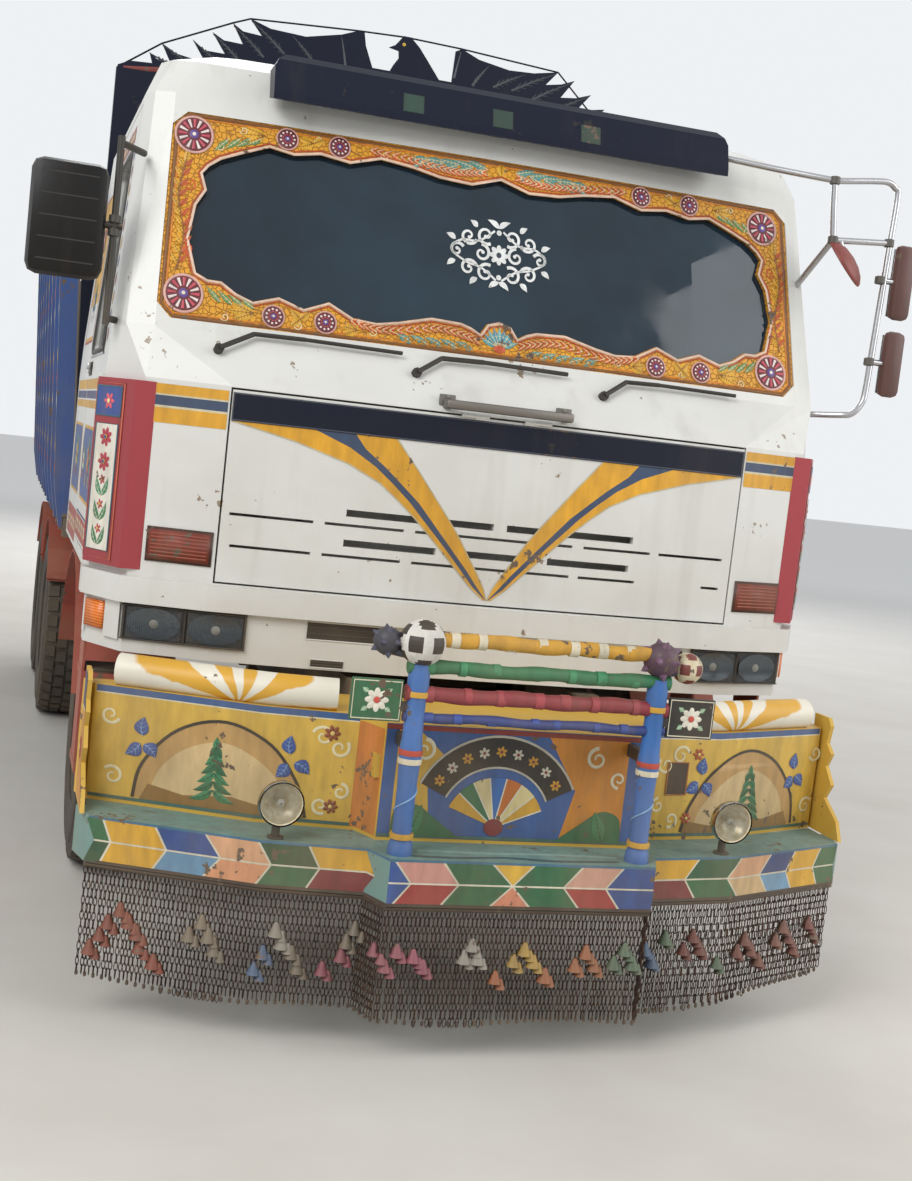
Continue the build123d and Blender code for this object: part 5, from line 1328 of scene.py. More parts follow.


# The bells' colours are dark: partly dirt, partly painted shade of their place under the bumper
for code, places in (
    ("#7c2c22", (
        (-1.09, 0.35), (-1.12, 0.31), (-1.14, 0.27), (-1.165, 0.23), (-1.065, 0.32), (-1.04, 0.29),
        (-1.03, 0.25), (-0.99, 0.215),
    )),
    ("#6f6659", (
        (-0.87, 0.35), (-0.85, 0.315), (-0.83, 0.275), (-0.90, 0.31), (-0.62, 0.29), (-0.60, 0.25),
        (-0.45, 0.375), (-0.47, 0.335),
    )),
    ("#8f8a80", ((-0.67, 0.355), (-0.65, 0.32), (-0.13, 0.365), (-0.11, 0.33), (-0.15, 0.33))),
    ("#3f5f80", ((-0.70, 0.285), (-0.72, 0.235), (0.45, 0.33), (0.48, 0.29))),
    ("#8a4156", (
        (-0.48, 0.295), (-0.53, 0.25), (-0.41, 0.34), (-0.35, 0.345), (-0.30, 0.33), (-0.38, 0.30), (-0.27, 0.30),
    )),
    ("#a5853a", ((0.03, 0.355), (0.06, 0.32), (0.0, 0.32))),
    ("#94502a", ((-0.05, 0.27), (0.10, 0.28), (0.22, 0.35), (0.25, 0.31), (0.19, 0.31))),
    ("#651f22", (
        (0.62, 0.36), (0.65, 0.32), (0.59, 0.32), (0.83, 0.335), (0.86, 0.30), (0.80, 0.30), (0.90, 0.26),
        (1.0, 0.355), (1.03, 0.315), (1.06, 0.275), (0.97, 0.315), (1.12, 0.35), (1.15, 0.31),
    )),
    ("#4b6650", ((0.34, 0.36), (0.37, 0.32), (0.31, 0.32), (0.72, 0.27), (0.52, 0.36))),
):
    for x, z in places:
        bell(x, z, 0.036 + 0.006 * chance.random(), code)
        bell(x + 0.018, z - 0.024, 0.03, code)
# Small drops along the lower edge, a rail at the top
for x, y, _ in hang_line[::2]:
    z = 0.122 + 0.008 * math.sin(9 * x) + rise(x)
    bells.rings((x, y, z), ((0.004, 0.001), (0, 0.0045), (-0.009, 0.005), (-0.013, 0.001)), "#3d2d24", sides=6)
bells.build("chassis", "chain_steel", angle=40)
rail = Art("fringe_rail")
rail.pipe([(x, y + 0.012, 0.4475) for x, y in plan], 0.0075, "#3a2a22", 10)
rail.build("chassis", "chain_steel", angle=40)


# Headlamps, corner indicators and fog lamps
s = Shade("lamp_silver")
silver = s.finish(s.cloud(30.0, 4.0, 0.4, 0.7, "#c9cccf", "#aeb2b6"), 0.12, Metallic=1.0)
# Headlamp bowls: a painted highlight, their colour going lighter towards the top as if lit from above
s = Shade("lamp_bowl")
bowl = s.finish(s.mix(s.ramp(s.z, 1.05, 1.14), tone("#3c4043"), tone("#7d8488")), 0.18, Metallic=1.0)
# Fog lamp reflectors: a bright warm colour that is only partly metal, a painted reflection in place of a mirror's
# glint
s = Shade("fog_reflector")
fog_bowl = s.finish(s.cloud(60.0, 4.0, 0.35, 0.7, "#fff6dc", "#e2cfa0"), 0.3, Metallic=0.35)
# Clear lens covers: the ribs are painted in a darker and a lighter grey, painted light and shade of the ribs
s = Shade("lamp_cover")
ribs = s.ramp(s.wave(s.x, 900.0), -0.6, 0.6)
s.bump(ribs, 0.5, 0.001)
cover = s.finish(s.mix(ribs, tone("#2c3134"), tone("#565d61")), 0.06, Alpha=0.42)


def ribbed(name, low, high, rough):
    """A coloured lens with level ribs, which are painted in a darker and a lighter tone: painted light and shade of
    the ribs.
    """
    s = Shade(name)
    ribs = s.ramp(s.wave(s.z, 700.0), -0.6, 0.6)
    s.bump(ribs, 0.4, 0.001)
    return s.finish(s.mix(ribs, tone(low), tone(high)), rough)


amber = ribbed("amber_lens", "#d8661c", "#ec8a34", 0.22)
red_lens = ribbed("red_lens", "#7c1410", "#a3221a", 0.2)

head = Art("headlamps", on_cab)
for side in (-1, 1):
    x0, x1 = span(side, 0.752, 1.12)
    head.fill(box(x0, 1.040, x1, 1.152), "#1a1a1b", 0.0022)
    for z in (1.0435, 1.1485):
        head.stroke([(x0, z), (x1, z)], 0.008, "#232324", 0.002, 0.012)
    for x in (x0 + 0.004, x1 - 0.004, (x0 + x1) / 2):
        head.stroke([(x, 1.042), (x, 1.150)], 0.009, "#232324", 0.002, 0.012)
    for centre in (x0 * 0.75 + x1 * 0.25, x0 * 0.25 + x1 * 0.75):
        head.disc((centre, 1.096), 0.080, 0.049, bowl, 0.009, -0.0065, 0, 24)
        head.disc((centre, 1.096), 0.014, 0.014, "#d9d6c8", 0.0035, 0.006, 0, 12)
        head.fill(box(centre - 0.083, 1.048, centre + 0.083, 1.144), cover, 0.0125)
    x0, x1 = span(side, 1.168, 1.216)
    head.plate(box(x0, 1.055, x1, 1.14), 0.001, 0.014, amber)
head.build("chassis", "lamp_glass", cuts=cab_cuts, stands_for="front_lamps")
fog = Art("fog_lamps")
for side in (-1, 1):
    centre = (side * 0.695, -0.575, 0.70)
    for sections, code, sides in (
        (
            (
                (0.0, 0.064), (0.006, 0.066), (0.02, 0.066), (0.035, 0.060), (0.06, 0.045), (0.08, 0.028),
                (0.084, 0.004),
            ),
            silver, 36,
        ),
        (((0.001, 0.060), (0.012, 0.056), (0.03, 0.04), (0.045, 0.02), (0.05, 0.002)), fog_bowl, 32),
        (((0.05, 0.004), (0.02, 0.012), (0.012, 0.002)), "#efe9d6", 14),
        (((0.008, 0.0605), (0.004, 0.050), (0.0015, 0.034), (0.0005, 0.017), (0.0002, 0.001)), cover, 32),
    ):
        fog.rings(centre, sections, code, (0, 1, 0), sides, cap=False)
    x, y, z = side * 0.695, -0.52, 0.59
    fog.pipe([(x, y, z), (x, y, z + 0.06)], 0.012, "#2a2a2a", 12)
    fog.rings((x, y, z), ((0, 0.024), (0.006, 0.024), (0.008, 0.014)), "#3a3a3a", sides=16)
fog.build("chassis", "lamp_glass", angle=35)
# White filler of the lamp band, round the lamps and the indicators
band = Art("lamp_band", on_cab)
for side in (-1, 1):
    for near, far in ((1.124, 1.164), (1.218, 1.2245)):
        x0, x1 = span(side, near, far)
        band.fill(box(x0, 1.036, x1, 1.155), white, 0.010)
band.build("chassis", "cab_white")


# Mirrors
s = Shade("mirror_glass")
mirror_glass = s.finish(s.cloud(5.0, 4.0, 0.3, 0.8, "#aab4ba", "#c2cacd"), 0.04, Metallic=1.0)
arm = Art("mirror_left_detailed")
arm_x, arm_y = -1.245, 0.19
arm.slab((-1.4995, arm_y - 0.038, 2.116), (-1.2705, arm_y + 0.034, 2.464), shell_black, 0.034)
arm.slab((-1.482, arm_y + 0.034, 2.135), (-1.288, arm_y + 0.0375, 2.445), mirror_glass, 0.0012)
for n in range(5):
    z = 2.16 + 0.065 * n
    arm.slab((-1.47, arm_y - 0.0382, z), (-1.30, arm_y - 0.036, z + 0.004), rubber)
for points in (
    [(arm_x, arm_y, 1.99), (arm_x, arm_y, 2.56)],
    [(arm_x, arm_y, 2.01), (-1.225, 0.23, 2.01), (-1.205, 0.262, 2.01)],
    [(arm_x, arm_y, 2.54), (-1.205, 0.26, 2.54), (-1.165, 0.33, 2.54)],
    [(-1.22, arm_y, 2.29), (-1.29, arm_y, 2.29)],
):
    arm.pipe(points, 0.011, "#24231f", 14)
for z in (2.27, 2.31):
    collar = ((0, 0.016), (0.002, 0.018), (0.022, 0.018), (0.024, 0.016))
    arm.rings((arm_x, arm_y, z - 0.012), collar, "#3a3936", sides=16)
arm.build("chassis", "black_plastic", angle=40, stands_for="mirror_left")

arm = Art("mirror_right_detailed")
arm_y = 0.16
main = [
    (0.798, 0.345, 2.84), (0.97, 0.26, 2.815), (1.12, 0.175, 2.794), (1.17, 0.16, 2.792), (1.30, 0.16, 2.811),
    (1.355, 0.16, 2.815), (1.385, 0.16, 2.80), (1.40, 0.16, 2.77), (1.392, 0.16, 2.55), (1.382, 0.16, 2.25),
    (1.376, 0.16, 2.09), (1.366, 0.16, 2.045), (1.335, 0.16, 2.008), (1.30, 0.175, 1.999), (1.22, 0.235, 1.992),
    (1.19, 0.262, 1.99),
]
for points in (
    smooth(main, 5),
    [(1.150, 0.16, 2.79), (1.158, 0.16, 2.70), (1.172, 0.16, 2.59)],
    [(1.172, 0.16, 2.59), (1.28, 0.16, 2.60), (1.39, 0.16, 2.61)],
    # a hair under 0.25: at 0.25 its first heading is a tie, and the tube's roll is left to rounding
    [(1.172, 0.16, 2.59), (1.15, 0.249999, 2.50), (1.130, 0.33, 2.42)],
    [(1.23, 0.16, 2.52), (1.20, 0.16, 2.59)],
    [(1.374, 0.16, 2.48), (1.44, 0.16, 2.48)],
    [(1.374, 0.16, 2.195), (1.44, 0.16, 2.195)],
):
    arm.pipe(points, 0.011, plated, 14)
for x, z in ((1.15, 2.79), (1.172, 2.59), (1.39, 2.61), (1.374, 2.48), (1.374, 2.195)):
    collar = ((0, 0.014), (0.003, 0.018), (0.025, 0.018), (0.028, 0.014))
    arm.rings((x, arm_y, z - 0.014), collar, "#55524d", sides=16)
for low, high in ((2.35, 2.61), (2.08, 2.31)):
    arm.slab((1.4203, arm_y - 0.025, low), (1.4998, arm_y + 0.02, high), "#5c3733", 0.022)
    arm.slab((1.428, arm_y + 0.02, low + 0.012), (1.492, arm_y + 0.0248, high - 0.012), mirror_glass, 0.0015)
dish = ((-0.034, 0.004), (-0.03, 0.04), (-0.02, 0.07), (-0.006, 0.09), (0.0, 0.094), (0.006, 0.094), (0.008, 0.088))
for sections, code in ((dish, "#8a3a34"), (((0.0075, 0.087), (0.0095, 0.05), (0.010, 0.002)), mirror_glass)):
    arm.rings((1.23, arm_y, 2.52), sections, code, (-0.62, 0.5, -0.6), 36)
arm.build("chassis", "tube_steel", angle=40, stands_for="mirror_right")


# Tyres and rims
s = Shade("tyre_rubber")
worn = s.cloud(20.0, 6.0, 0.3, 0.7, "#2b2825", "#45403a")
worn = s.mix(s.times(s.ramp(s.noise(2.2, 6.0), 0.25, 0.85), 0.5), worn, tone("#75664f"))
s.bump(s.noise(90.0, 3.0), 0.25, 0.001)
tyre_rubber = s.finish(worn, 0.85)
s = Shade("rim_enamel")
rim_enamel = s.finish(*weather(s, tone("#a8322a"), 0.42, dust=0.55, mottle=0.2, chips=0.5, streaks=0.0))

wheel_z = 0.525
casing_half = (
    (-0.098, 0.258), (-0.112, 0.275), (-0.128, 0.32), (-0.1345, 0.38), (-0.132, 0.43), (-0.124, 0.475),
    (-0.112, 0.503), (-0.085, 0.511),
)
casing = [*casing_half, (0.0, 0.513), *mirrored(-1, casing_half[::-1])]
# Rows of tread: skew, then for each edge its place across and the blocks' lower and upper radius
tread = (
    (0.0, ((-0.120, 0.485, 0.5125), (-0.066, 0.505, 0.5245))),
    (0.35, ((-0.054, 0.510, 0.5245), (-0.006, 0.510, 0.5245))),
    (0.85, ((0.006, 0.510, 0.5245), (0.054, 0.510, 0.5245))),
    (0.5, ((0.066, 0.505, 0.5245), (0.120, 0.485, 0.5125))),
)
blocks = 40
barrel_half = ((-0.108, 0.262), (-0.108, 0.268), (-0.100, 0.262), (-0.092, 0.245), (-0.06, 0.235))
barrel = [
    *barrel_half, (0.0, 0.232), *mirrored(-1, barrel_half[::-1]),
    (0.098, 0.250), (0.0, 0.226), (-0.098, 0.250), (-0.108, 0.262),
]
front_disc = ((-0.02, 0.230), (0.01, 0.215), (0.055, 0.175), (0.068, 0.150), (0.072, 0.110), (0.072, 0.002))
back_disc = (
    (0.035, 0.230), (0.045, 0.215), (0.050, 0.170), (0.030, 0.150), (0.010, 0.138), (0.010, 0.110), (0.022, 0.108),
    (0.026, 0.030), (0.026, 0.002),
)
hub = (
    (0.02, 0.105), (0.05, 0.102), (0.062, 0.094), (0.075, 0.086), (0.100, 0.082), (0.112, 0.074), (0.119, 0.050),
    (0.1195, 0.002),
)


def wheel_place(centre, along, radius, turn):
    """A place in a wheel, from the distance along its axle, the radius and the turn."""
    return (centre[0] + along, *polar(centre[1:], radius, radius, turn))


def make_tyre(tyre, centre):
    tyre.rings(centre, casing, tyre_rubber, (1, 0, 0), 72, cap=False)
    # Ridges round the sidewalls
    for face in (-1, 1):
        for radius, along in ((0.30, 0.1235), (0.455, 0.1285)):
            ridge = ((along - 0.001, radius - 0.004), (along + 0.0015, radius), (along - 0.001, radius + 0.004))
            tyre.rings(centre, mirrored(face, ridge), tyre_rubber, (1, 0, 0), 72, cap=False)
    # Tread: blocks in four rows, the outer ones reaching over the shoulders
    for skew, edges in tread:
        for n in range(blocks):
            start = 2 * math.pi * (n + skew) / blocks
            block = [
                wheel_place(centre, x, radius, turn)
                for turn in (start, start + 2 * math.pi * 0.70 / blocks)
                for x, *radii in edges
                for radius in radii
            ]
            tyre.faces(block, [(1, 3, 7, 5), (0, 1, 5, 4), (2, 6, 7, 3), (0, 2, 3, 1), (4, 5, 7, 6)], tyre_rubber)


def make_rim(rim, centre, outward, front, hubbed):
    """Barrel with its lips, a dished disc with hand holes, nuts, and a hub on the outer rim."""
    rim.rings(centre, barrel, rim_enamel, (1, 0, 0), 56, cap=False)
    rim.rings(centre, mirrored(outward, front_disc if front else back_disc), rim_enamel, (1, 0, 0), 56, cap=False)
    hole_x, nut_x, nut_radius, lean = (0.034, 0.072, 0.128, 0.9) if front else (0.0485, 0.024, 0.128 * 0.96, 0)
    # Hand holes: shallow near-black dishes, painted shade in place of openings, each in a gold ring
    for n in range(8):
        turn = 2 * math.pi * (n + 0.5) / 8
        hole = wheel_place(centre, outward * hole_x, 0.195, turn)
        way = (outward, lean * math.cos(turn), lean * math.sin(turn))
        rim.rings(hole, ((0.0005, 0.020), (0.0022, 0.019), (0.0022, 0.001)), "#0d0c0b", way, 16, cap=False)
        rim.rings(hole, ((0.0, 0.024), (0.003, 0.023), (0.003, 0.0195)), "#d7b04a", way, 16, cap=False)
    way = (outward, 0, 0)
    for n in range(10):
        nut = wheel_place(centre, outward * nut_x, nut_radius, 2 * math.pi * n / 10)
        rim.rings(nut, ((-0.012, 0.0145), (0.016, 0.0145), (0.018, 0.012)), "#8b8478", way, 6)
        rim.rings(nut, ((0.015, 0.007), (0.026, 0.007)), "#6e685e", way, 8)
    if hubbed:
        rim.rings(centre, mirrored(outward, hub), "#c9a12f" if front else "#2f5d9b", (1, 0, 0), 40, cap=False)
        for n in range(8):
            bolt = wheel_place(centre, outward * 0.0705, 0.090, 2 * math.pi * n / 8)
            rim.rings(bolt, ((0, 0.006), (0.008, 0.006), (0.0095, 0.004)), "#8b8478", way, 6)


for row, y, places in (("front", 1.28, (1.03,)), ("mid", 4.2, (1.085, 0.765)), ("rear", 5.5, (1.085, 0.765))):
    for side, name in both_sides:
        tyre = Art(f"tyre_{row}_{name}_treaded")
        rim = Art(f"rim_{row}_{name}_detailed")
        for x in places:
            outer = x == max(places)
            centre = (side * x, y, wheel_z)
            make_tyre(tyre, centre)
            make_rim(rim, centre, side if outer else -side, row == "front", outer)
        tyre.build(f"wheel_{row}_{name}", "tyre", angle=35, stands_for=f"tyre_{row}_{name}")
        rim.build(f"wheel_{row}_{name}", "rim_paint", angle=35, stands_for=f"rim_{row}_{name}")


# Grab handle
grip = Art("grab_handle_rounded")
grip.slab((-0.212, -0.0929, 1.8535), (0.212, -0.068, 1.8825), grey_steel, 0.009)
for side in (-1, 1):
    x = side * 0.195
    foot = cab_place(x, 1.868)
    grip.slab((x - 0.016, -0.075, 1.8545), (x + 0.016, foot + 0.002, 1.8815), grey_steel, 0.006)
    grip.slab((x - 0.026, foot - 0.006, 1.838), (x + 0.026, foot + 0.006, 1.898), "#6f6c68", 0.003)
    for z in (1.845, 1.891):
        grip.rings((x, foot - 0.006, z), ((0, 0.006), (0.004, 0.006), (0.005, 0.004)), "#8a8680", (0, -1, 0), 6)
grip.build("chassis", "tube_steel", angle=40, stands_for="grab_handle")

# Slots in the cab's lower front strip, beside the lamps: near-black fills that are painted shade in the openings,
# with slats across
low_slots = Art("lower_slots", on_cab)
for x0, x1, z0, z1 in ((-0.565, -0.30, 1.093, 1.150), (-0.545, -0.44, 1.006, 1.032), (0.60, 0.72, 1.093, 1.146)):
    low_slots.fill(box(x0, z0, x1, z1), "#0c0c0d", 0.0008)
    low_slots.stroke(box(x0, z0, x1, z1), 0.005, white, 0.001, 0.002, closed=True)
    for n in range(1, 3):
        z = z0 + (z1 - z0) * n / 3
        low_slots.stroke([(x0, z), (x1, z)], 0.004, "#2b2b2c", 0.001, 0.001)
low_slots.build("chassis", "cab_white", cuts=cab_cuts)


# Doors and cab sides: window rubber, handle, stripes and painted bands
def on_flank(side):
    """A cast onto one side of the cab."""
    return lambda y, z, lift: in_place(side * (between(cab_rows, z)[1] + lift), y, z)


def flank_bands(art, y0, y1, low, first, pitch, count, level, across, up, codes):
    """The stripes under the windows, and the band of discs lower down."""
    for z0, z1, code in ((1.796, 1.832, gilt), (1.762, 1.790, "#1d2f66"), (1.728, 1.756, gilt)):
        art.fill(box(y0, z0, y1, z1), code, 0.0006)
    art.fill(box(y0, low, y1, 1.335), brick, 0.0006)
    for n in range(count):
        place = (first + n * pitch, level)
        outer, inner = codes[n % 2]
        art.disc(place, across, up, outer, 0.0009, 0.0003, 0, 12)
        art.disc(place, 0.012, 0.010, inner, 0.0014, 0.0003, 0, 10)


def eight(x0, z0, x1, z1, cut):
    """A box with cut corners."""
    return [
        (x0 + cut, z0), (x1 - cut, z0), (x1, z0 + cut), (x1, z1 - cut),
        (x1 - cut, z1), (x0 + cut, z1), (x0, z1 - cut), (x0, z0 + cut),
    ]


window = [
    (0.53, 1.93), (1.19, 1.93), (1.22, 1.96), (1.22, 2.57),
    (1.19, 2.60), (0.69, 2.60), (0.646, 2.58), (0.508, 1.955),
]
disc_codes = ((paper, brick), (corn, "#2456a0"))
leaf_green = "#4c9a5b"
for side, name in both_sides:
    door = Art(f"door_{name}_trim", on_flank(side))
    door.stroke(window, 0.020, soot, 0.0, 0.006, closed=True)
    door.stroke([(0.50, 1.915), (1.23, 1.915)], 0.010, plated, 0.0, 0.005)
    flank_bands(door, 0.342, 1.278, 1.256, 0.385, 0.077, 12, 1.30, 0.027, 0.022, disc_codes)
    door.stroke([(0.342, 1.344), (1.278, 1.344)], 0.008, "#1d2f66", 0.0008)
    bordered(door, eight(0.40, 1.40, 1.22, 1.66, 0.04), cobalt, gilt)
    bouquet(door, (0.81, 1.545), 0.075, poppy, "#e9c23e", leaf_green)
    for y in (0.53, 1.09):
        bouquet(door, (y, 1.535), 0.05, paper, poppy, leaf_green)
    diamonds(door, (0.425, 1.945), (0.572, 2.60), 11, 0.052, (brick, cobalt, gilt))
    diamonds(door, (1.252, 1.945), (1.252, 2.60), 11, 0.034, (cobalt, brick, moss))
    door.fill([(0.66, 2.625), (1.27, 2.625), (1.27, 2.68), (0.675, 2.68)], brick, 0.0006)
    diamonds(door, (0.68, 2.652), (1.26, 2.652), 12, 0.04, (gilt, paper), 0.001)
    latch = Art(f"door_{name}_handle")
    x = side * 1.225
    plate_x, grip_x = x + side * 0.003, x + side * 0.017
    latch.slab((x, 1.085, 1.845), (plate_x, 1.235, 1.895), "#161616", 0.001)
    latch.slab((plate_x, 1.095, 1.868), (grip_x, 1.205, 1.888), plated, 0.004)
    latch.rings((plate_x, 1.222, 1.862), ((0, 0.009), (0.004, 0.008)), plated, (side, 0, 0), 12)
    latch.build(f"door_body_{name}", "cab_white", angle=40)
    door.build(f"door_body_{name}", "cab_white")
    # Bands behind the door, on the fixed side
    rear = Art(f"cab_side_{name}_paint", on_flank(side))
    flank_bands(rear, 1.31, 1.94, 1.215, 1.35, 0.078, 8, 1.275, 0.028, 0.024, disc_codes[::-1])
    bordered(rear, box(1.36, 1.40, 1.90, 1.66), cobalt, gilt)
    bouquet(rear, (1.63, 1.54), 0.07, corn, brick, leaf_green)
    bordered(rear, box(1.37, 1.98, 1.86, 2.55), gilt, brick, 0.014)
    bouquet(rear, (1.615, 2.38), 0.085, poppy, paper, moss)
    bouquet(rear, (1.615, 2.14), 0.065, cobalt, paper, moss)
    rear.build("chassis", "cab_white")

# Pressed ribs on the back wall, and the rubber of its window
ribs_art = Art("back_wall_ribs", lambda x, z, lift: in_place(x, 2.0 + lift, z))
for z in (1.36, 1.50, 1.64, 1.78, 1.92):
    ribs_art.stroke([(-1.05, z), (1.05, z)], 0.035, white, 0.0, 0.007)
back_window = [
    (-0.75, 2.05), (0.75, 2.05), (0.77, 2.09), (0.77, 2.47),
    (0.75, 2.51), (-0.75, 2.51), (-0.77, 2.47), (-0.77, 2.09),
]
ribs_art.stroke(back_window, 0.022, soot, 0.0, 0.006, closed=True)
ribs_art.build("chassis", "cab_white")


# Load bed: painted panels between the posts, posts with diamonds
def on_bed(side, out=0.0):
    """A cast onto a side wall of the bed, which leans outwards, or onto its posts, which stand out."""
    return lambda y, z, lift: in_place(side * (1.23 + 0.07 * max(0.0, z - 1.365) / 1.235 + out + lift), y, z)


bed_start = 2.41
post_step = 4.462 / 8
post_half = 0.052
ochre_ground, red_ground = "#d8a32c", "#9c2f2a"
grounds = (royal, ochre_ground, royal, red_ground)
for side, name in both_sides:
    wall_art = Art(f"bed_{name}_paintings", on_bed(side))
    for n in range(8):
        y0 = bed_start + n * post_step + post_half
        y1 = bed_start + (n + 1) * post_step - post_half
        for row, (z0, z1) in enumerate(((1.395, 1.93), (1.99, 2.575))):
            ground = grounds[(n + 2 * row) % 4]
            inner_rim = corn if ground == red_ground else poppy
            rims = ((0.012, 0.012, paper), (0.032, 0.010, inner_rim))
            framed(wall_art, y0, z0, y1, z1, ground, rims, 0.0006)
            y, z = (y0 + y1) / 2, (z0 + z1) / 2
            ring_code = paper if ground == ochre_ground else corn
            if (n + row) % 2:
                wall_art.disc((y, z), 0.145, 0.145, ring_code, 0.001, steps=28)
                wall_art.disc((y, z), 0.128, 0.128, brick if ground == royal else bottle, 0.0013, steps=28)
                bouquet(wall_art, (y, z + 0.02), 0.066, paper, poppy, sage, 0.0016)
            else:
                inner_code = royal if ground == red_ground else red_ground
                for up, across, code, lift in ((0.2, 0.155, ring_code, 0.001), (0.175, 0.134, inner_code, 0.0013)):
                    wall_art.fill([(y, z - up), (y + across, z), (y, z + up), (y - across, z)], code, lift)
                flower(wall_art, (y, z), 0.062, paper, corn, 10, 0.0016, 0, 0.0006)
                for dz in (-0.115, 0.115):
                    flower(wall_art, (y, z + dz), 0.026, corn, paper, 6, 0.0016, 0, 0.0004)
            for place in box(y0 + 0.075, z0 + 0.075, y1 - 0.075, z1 - 0.075):
                flower(wall_art, place, 0.026, paper, poppy, 6, 0.001, 0, 0.0004)
    wall_art.build("bed", "bed_paint")
    posts_art = Art(f"bed_{name}_posts_paint", on_bed(side, 0.045))
    for n in range(9):
        y = bed_start + n * post_step
        diamonds(posts_art, (y, 1.39), (y, 2.59), 12, 0.074, (poppy, corn, cobalt, paper), 0.0008, soot)
    posts_art.build("bed", "bed_paint")

# Bed walls and tailgate: blue outside with stripes on the tailgate's bars, scraped steel inside
wall_wear = {"dust": 0.5, "mottle": 0.2, "chips": 0.5, "streaks": 0.3}
s = Shade("bed_wall_paint")
walls, rougher = weather(s, tone(royal), 0.45, **wall_wear)
scraped, _ = weather(s, tone("#6a625a"), 0.6, dust=0.6, mottle=0.4, chips=0.6, under="#4b3020", streaks=0.3)
inner_face = s.plus(1.2, s.times(s.less(s.z, 1.365), 0.0567))
within = s.times(s.math("LESS_THAN", s.math("ABSOLUTE", s.x), inner_face), s.math("LESS_THAN", s.z, 2.598))
dress(s.finish(s.mix(within, walls, scraped), rougher), "bed_sides", bevel=0.004)
s = Shade("gate_paint")
gate_y = 6.97
zigzag = s.math("ABSOLUTE", s.less(s.math("FRACT", s.times(s.z, 2.2)), 0.5))
stripe = s.math("GREATER_THAN", s.math("FRACT", s.times(s.plus(s.x, zigzag), 7.0)), 0.5)
bars = s.mix(stripe, tone(corn), tone(brick))
gate = s.mix(s.math("GREATER_THAN", s.y, gate_y + front_y + 0.001), tone(royal), bars)
gate, rougher = weather(s, gate, 0.45, **wall_wear)
gate = s.mix(s.math("LESS_THAN", s.y, gate_y + front_y - 0.028), gate, tone("#6a625a"))
dress(s.finish(gate, rougher), "tailgate", bevel=0.004)
gate_art = Art("tailgate_paintings", lambda x, z, lift: in_place(x, gate_y + lift, z))
for side in (-1, 1):
    for row, (z0, z1) in enumerate(((1.262, 1.688), (1.776, 2.134), (2.226, 2.526))):
        for column, (near, far) in enumerate(((0.045, 0.60), (0.62, 1.165))):
            x0, x1 = span(side, near, far)
            ground = (ochre_ground, royal, bottle)[(row + column) % 3]
            framed(gate_art, x0, z0, x1, z1, ground, ((0.014, 0.011, paper), (0.034, 0.011, poppy)), 0.0008)
            petal = paper if ground == bottle else poppy
            bouquet(gate_art, ((x0 + x1) / 2, (z0 + z1) / 2 + 0.02), 0.078, petal, corn, sage, 0.0014)
gate_art.build("tailgate_body", "bed_paint")

# Tail lamps
tail = Art("tail_lamps")
for side in (-1, 1):
    for near, far, material in ((0.565, 0.64, red_lens), (0.645, 0.72, amber), (0.725, 0.795, cover)):
        tail.slab((side * near, 6.584, 0.572), (side * far, 6.594, 0.648), material, 0.003)
    for x in (0.562, 0.643, 0.722, 0.798):
        tail.slab((side * x - 0.002, 6.583, 0.568), (side * x + 0.002, 6.597, 0.652), "#1c1b1a")
    for n in range(9):
        near, far = 0.03 + 0.055 * n, 0.085 + 0.055 * n
        tail.slab((side * near, 6.539, 0.564), (side * far, 6.5405, 0.656), "#b3302a" if n % 2 else "#e0dccc")
tail.build("chassis", "frame_black", angle=40)

# Frame: bolts, U-bolts round the springs, tank straps, caps and air pipes
fittings = Art("frame_fittings")
for side in (-1, 1):
    bolt = ((0, 0.013), (0.003, 0.013), (0.0032, 0.010), (0.010, 0.010))
    for n in range(27):
        for z in (0.772, 0.938):
            fittings.rings((side * 0.42, 2.25 + 0.16 * n, z), bolt, rail_brown, (side, 0, 0), 6)
    for y in (1.20, 1.36):
        for x in (0.332, 0.428):
            fittings.pipe([(side * x, y, 0.40), (side * x, y, 0.585)], 0.009, rail_brown, 8)
        fittings.pipe([(side * 0.332, y, 0.584), (side * 0.428, y, 0.584)], 0.009, rail_brown, 8)
    for x, low, high, places in ((0.38, 0.505, 0.565, (0.92, 1.64)), (0.475, 0.582, 0.652, (4.55, 5.15))):
        for y in places:
            fittings.slab((side * x - 0.046, y - 0.02, low), (side * x + 0.046, y + 0.02, high), "#3a322c", 0.003)
for y in (2.62, 3.18):
    strap = [(x, y + dy, z) for dy in (-0.025, 0.025) for x, z in eight(0.4775, 0.4275, 1.1225, 0.9325, 0.045)]
    fittings.faces(strap, [(k, (k + 1) % 8, 8 + (k + 1) % 8, 8 + k) for k in range(8)], "#8c8880")
tank_cap = ((0, 0.05), (0.012, 0.05), (0.014, 0.042), (0.03, 0.042), (0.033, 0.036))
fittings.rings((0.93, 2.53, 0.93), tank_cap, "#2a2826", sides=24)
air_x = -0.80
hoop = ((0, 0.1255), (0.002, 0.1275), (0.022, 0.1275), (0.024, 0.1255))
air_end = ((-0.002, 0.122), (0.012, 0.104), (0.02, 0.06), (0.022, 0.002))
for level in (0.56, 0.83):
    for y in (2.47, 2.62, 3.18, 3.33):
        fittings.rings((air_x, y - 0.012, level), hoop, "#55504a", (0, 1, 0), 32, cap=False)
    for y, way in ((2.45, -1), (3.35, 1)):
        fittings.rings((air_x, y, level), air_end, blue, (0, way, 0), 28, cap=False)
    air_pipe = [(air_x, 3.36, level), (air_x, 3.42, level), (-0.62, 3.48, level + 0.06), (-0.44, 3.5, 0.86)]
    fittings.pipe(air_pipe, 0.009, "#262322", 8)
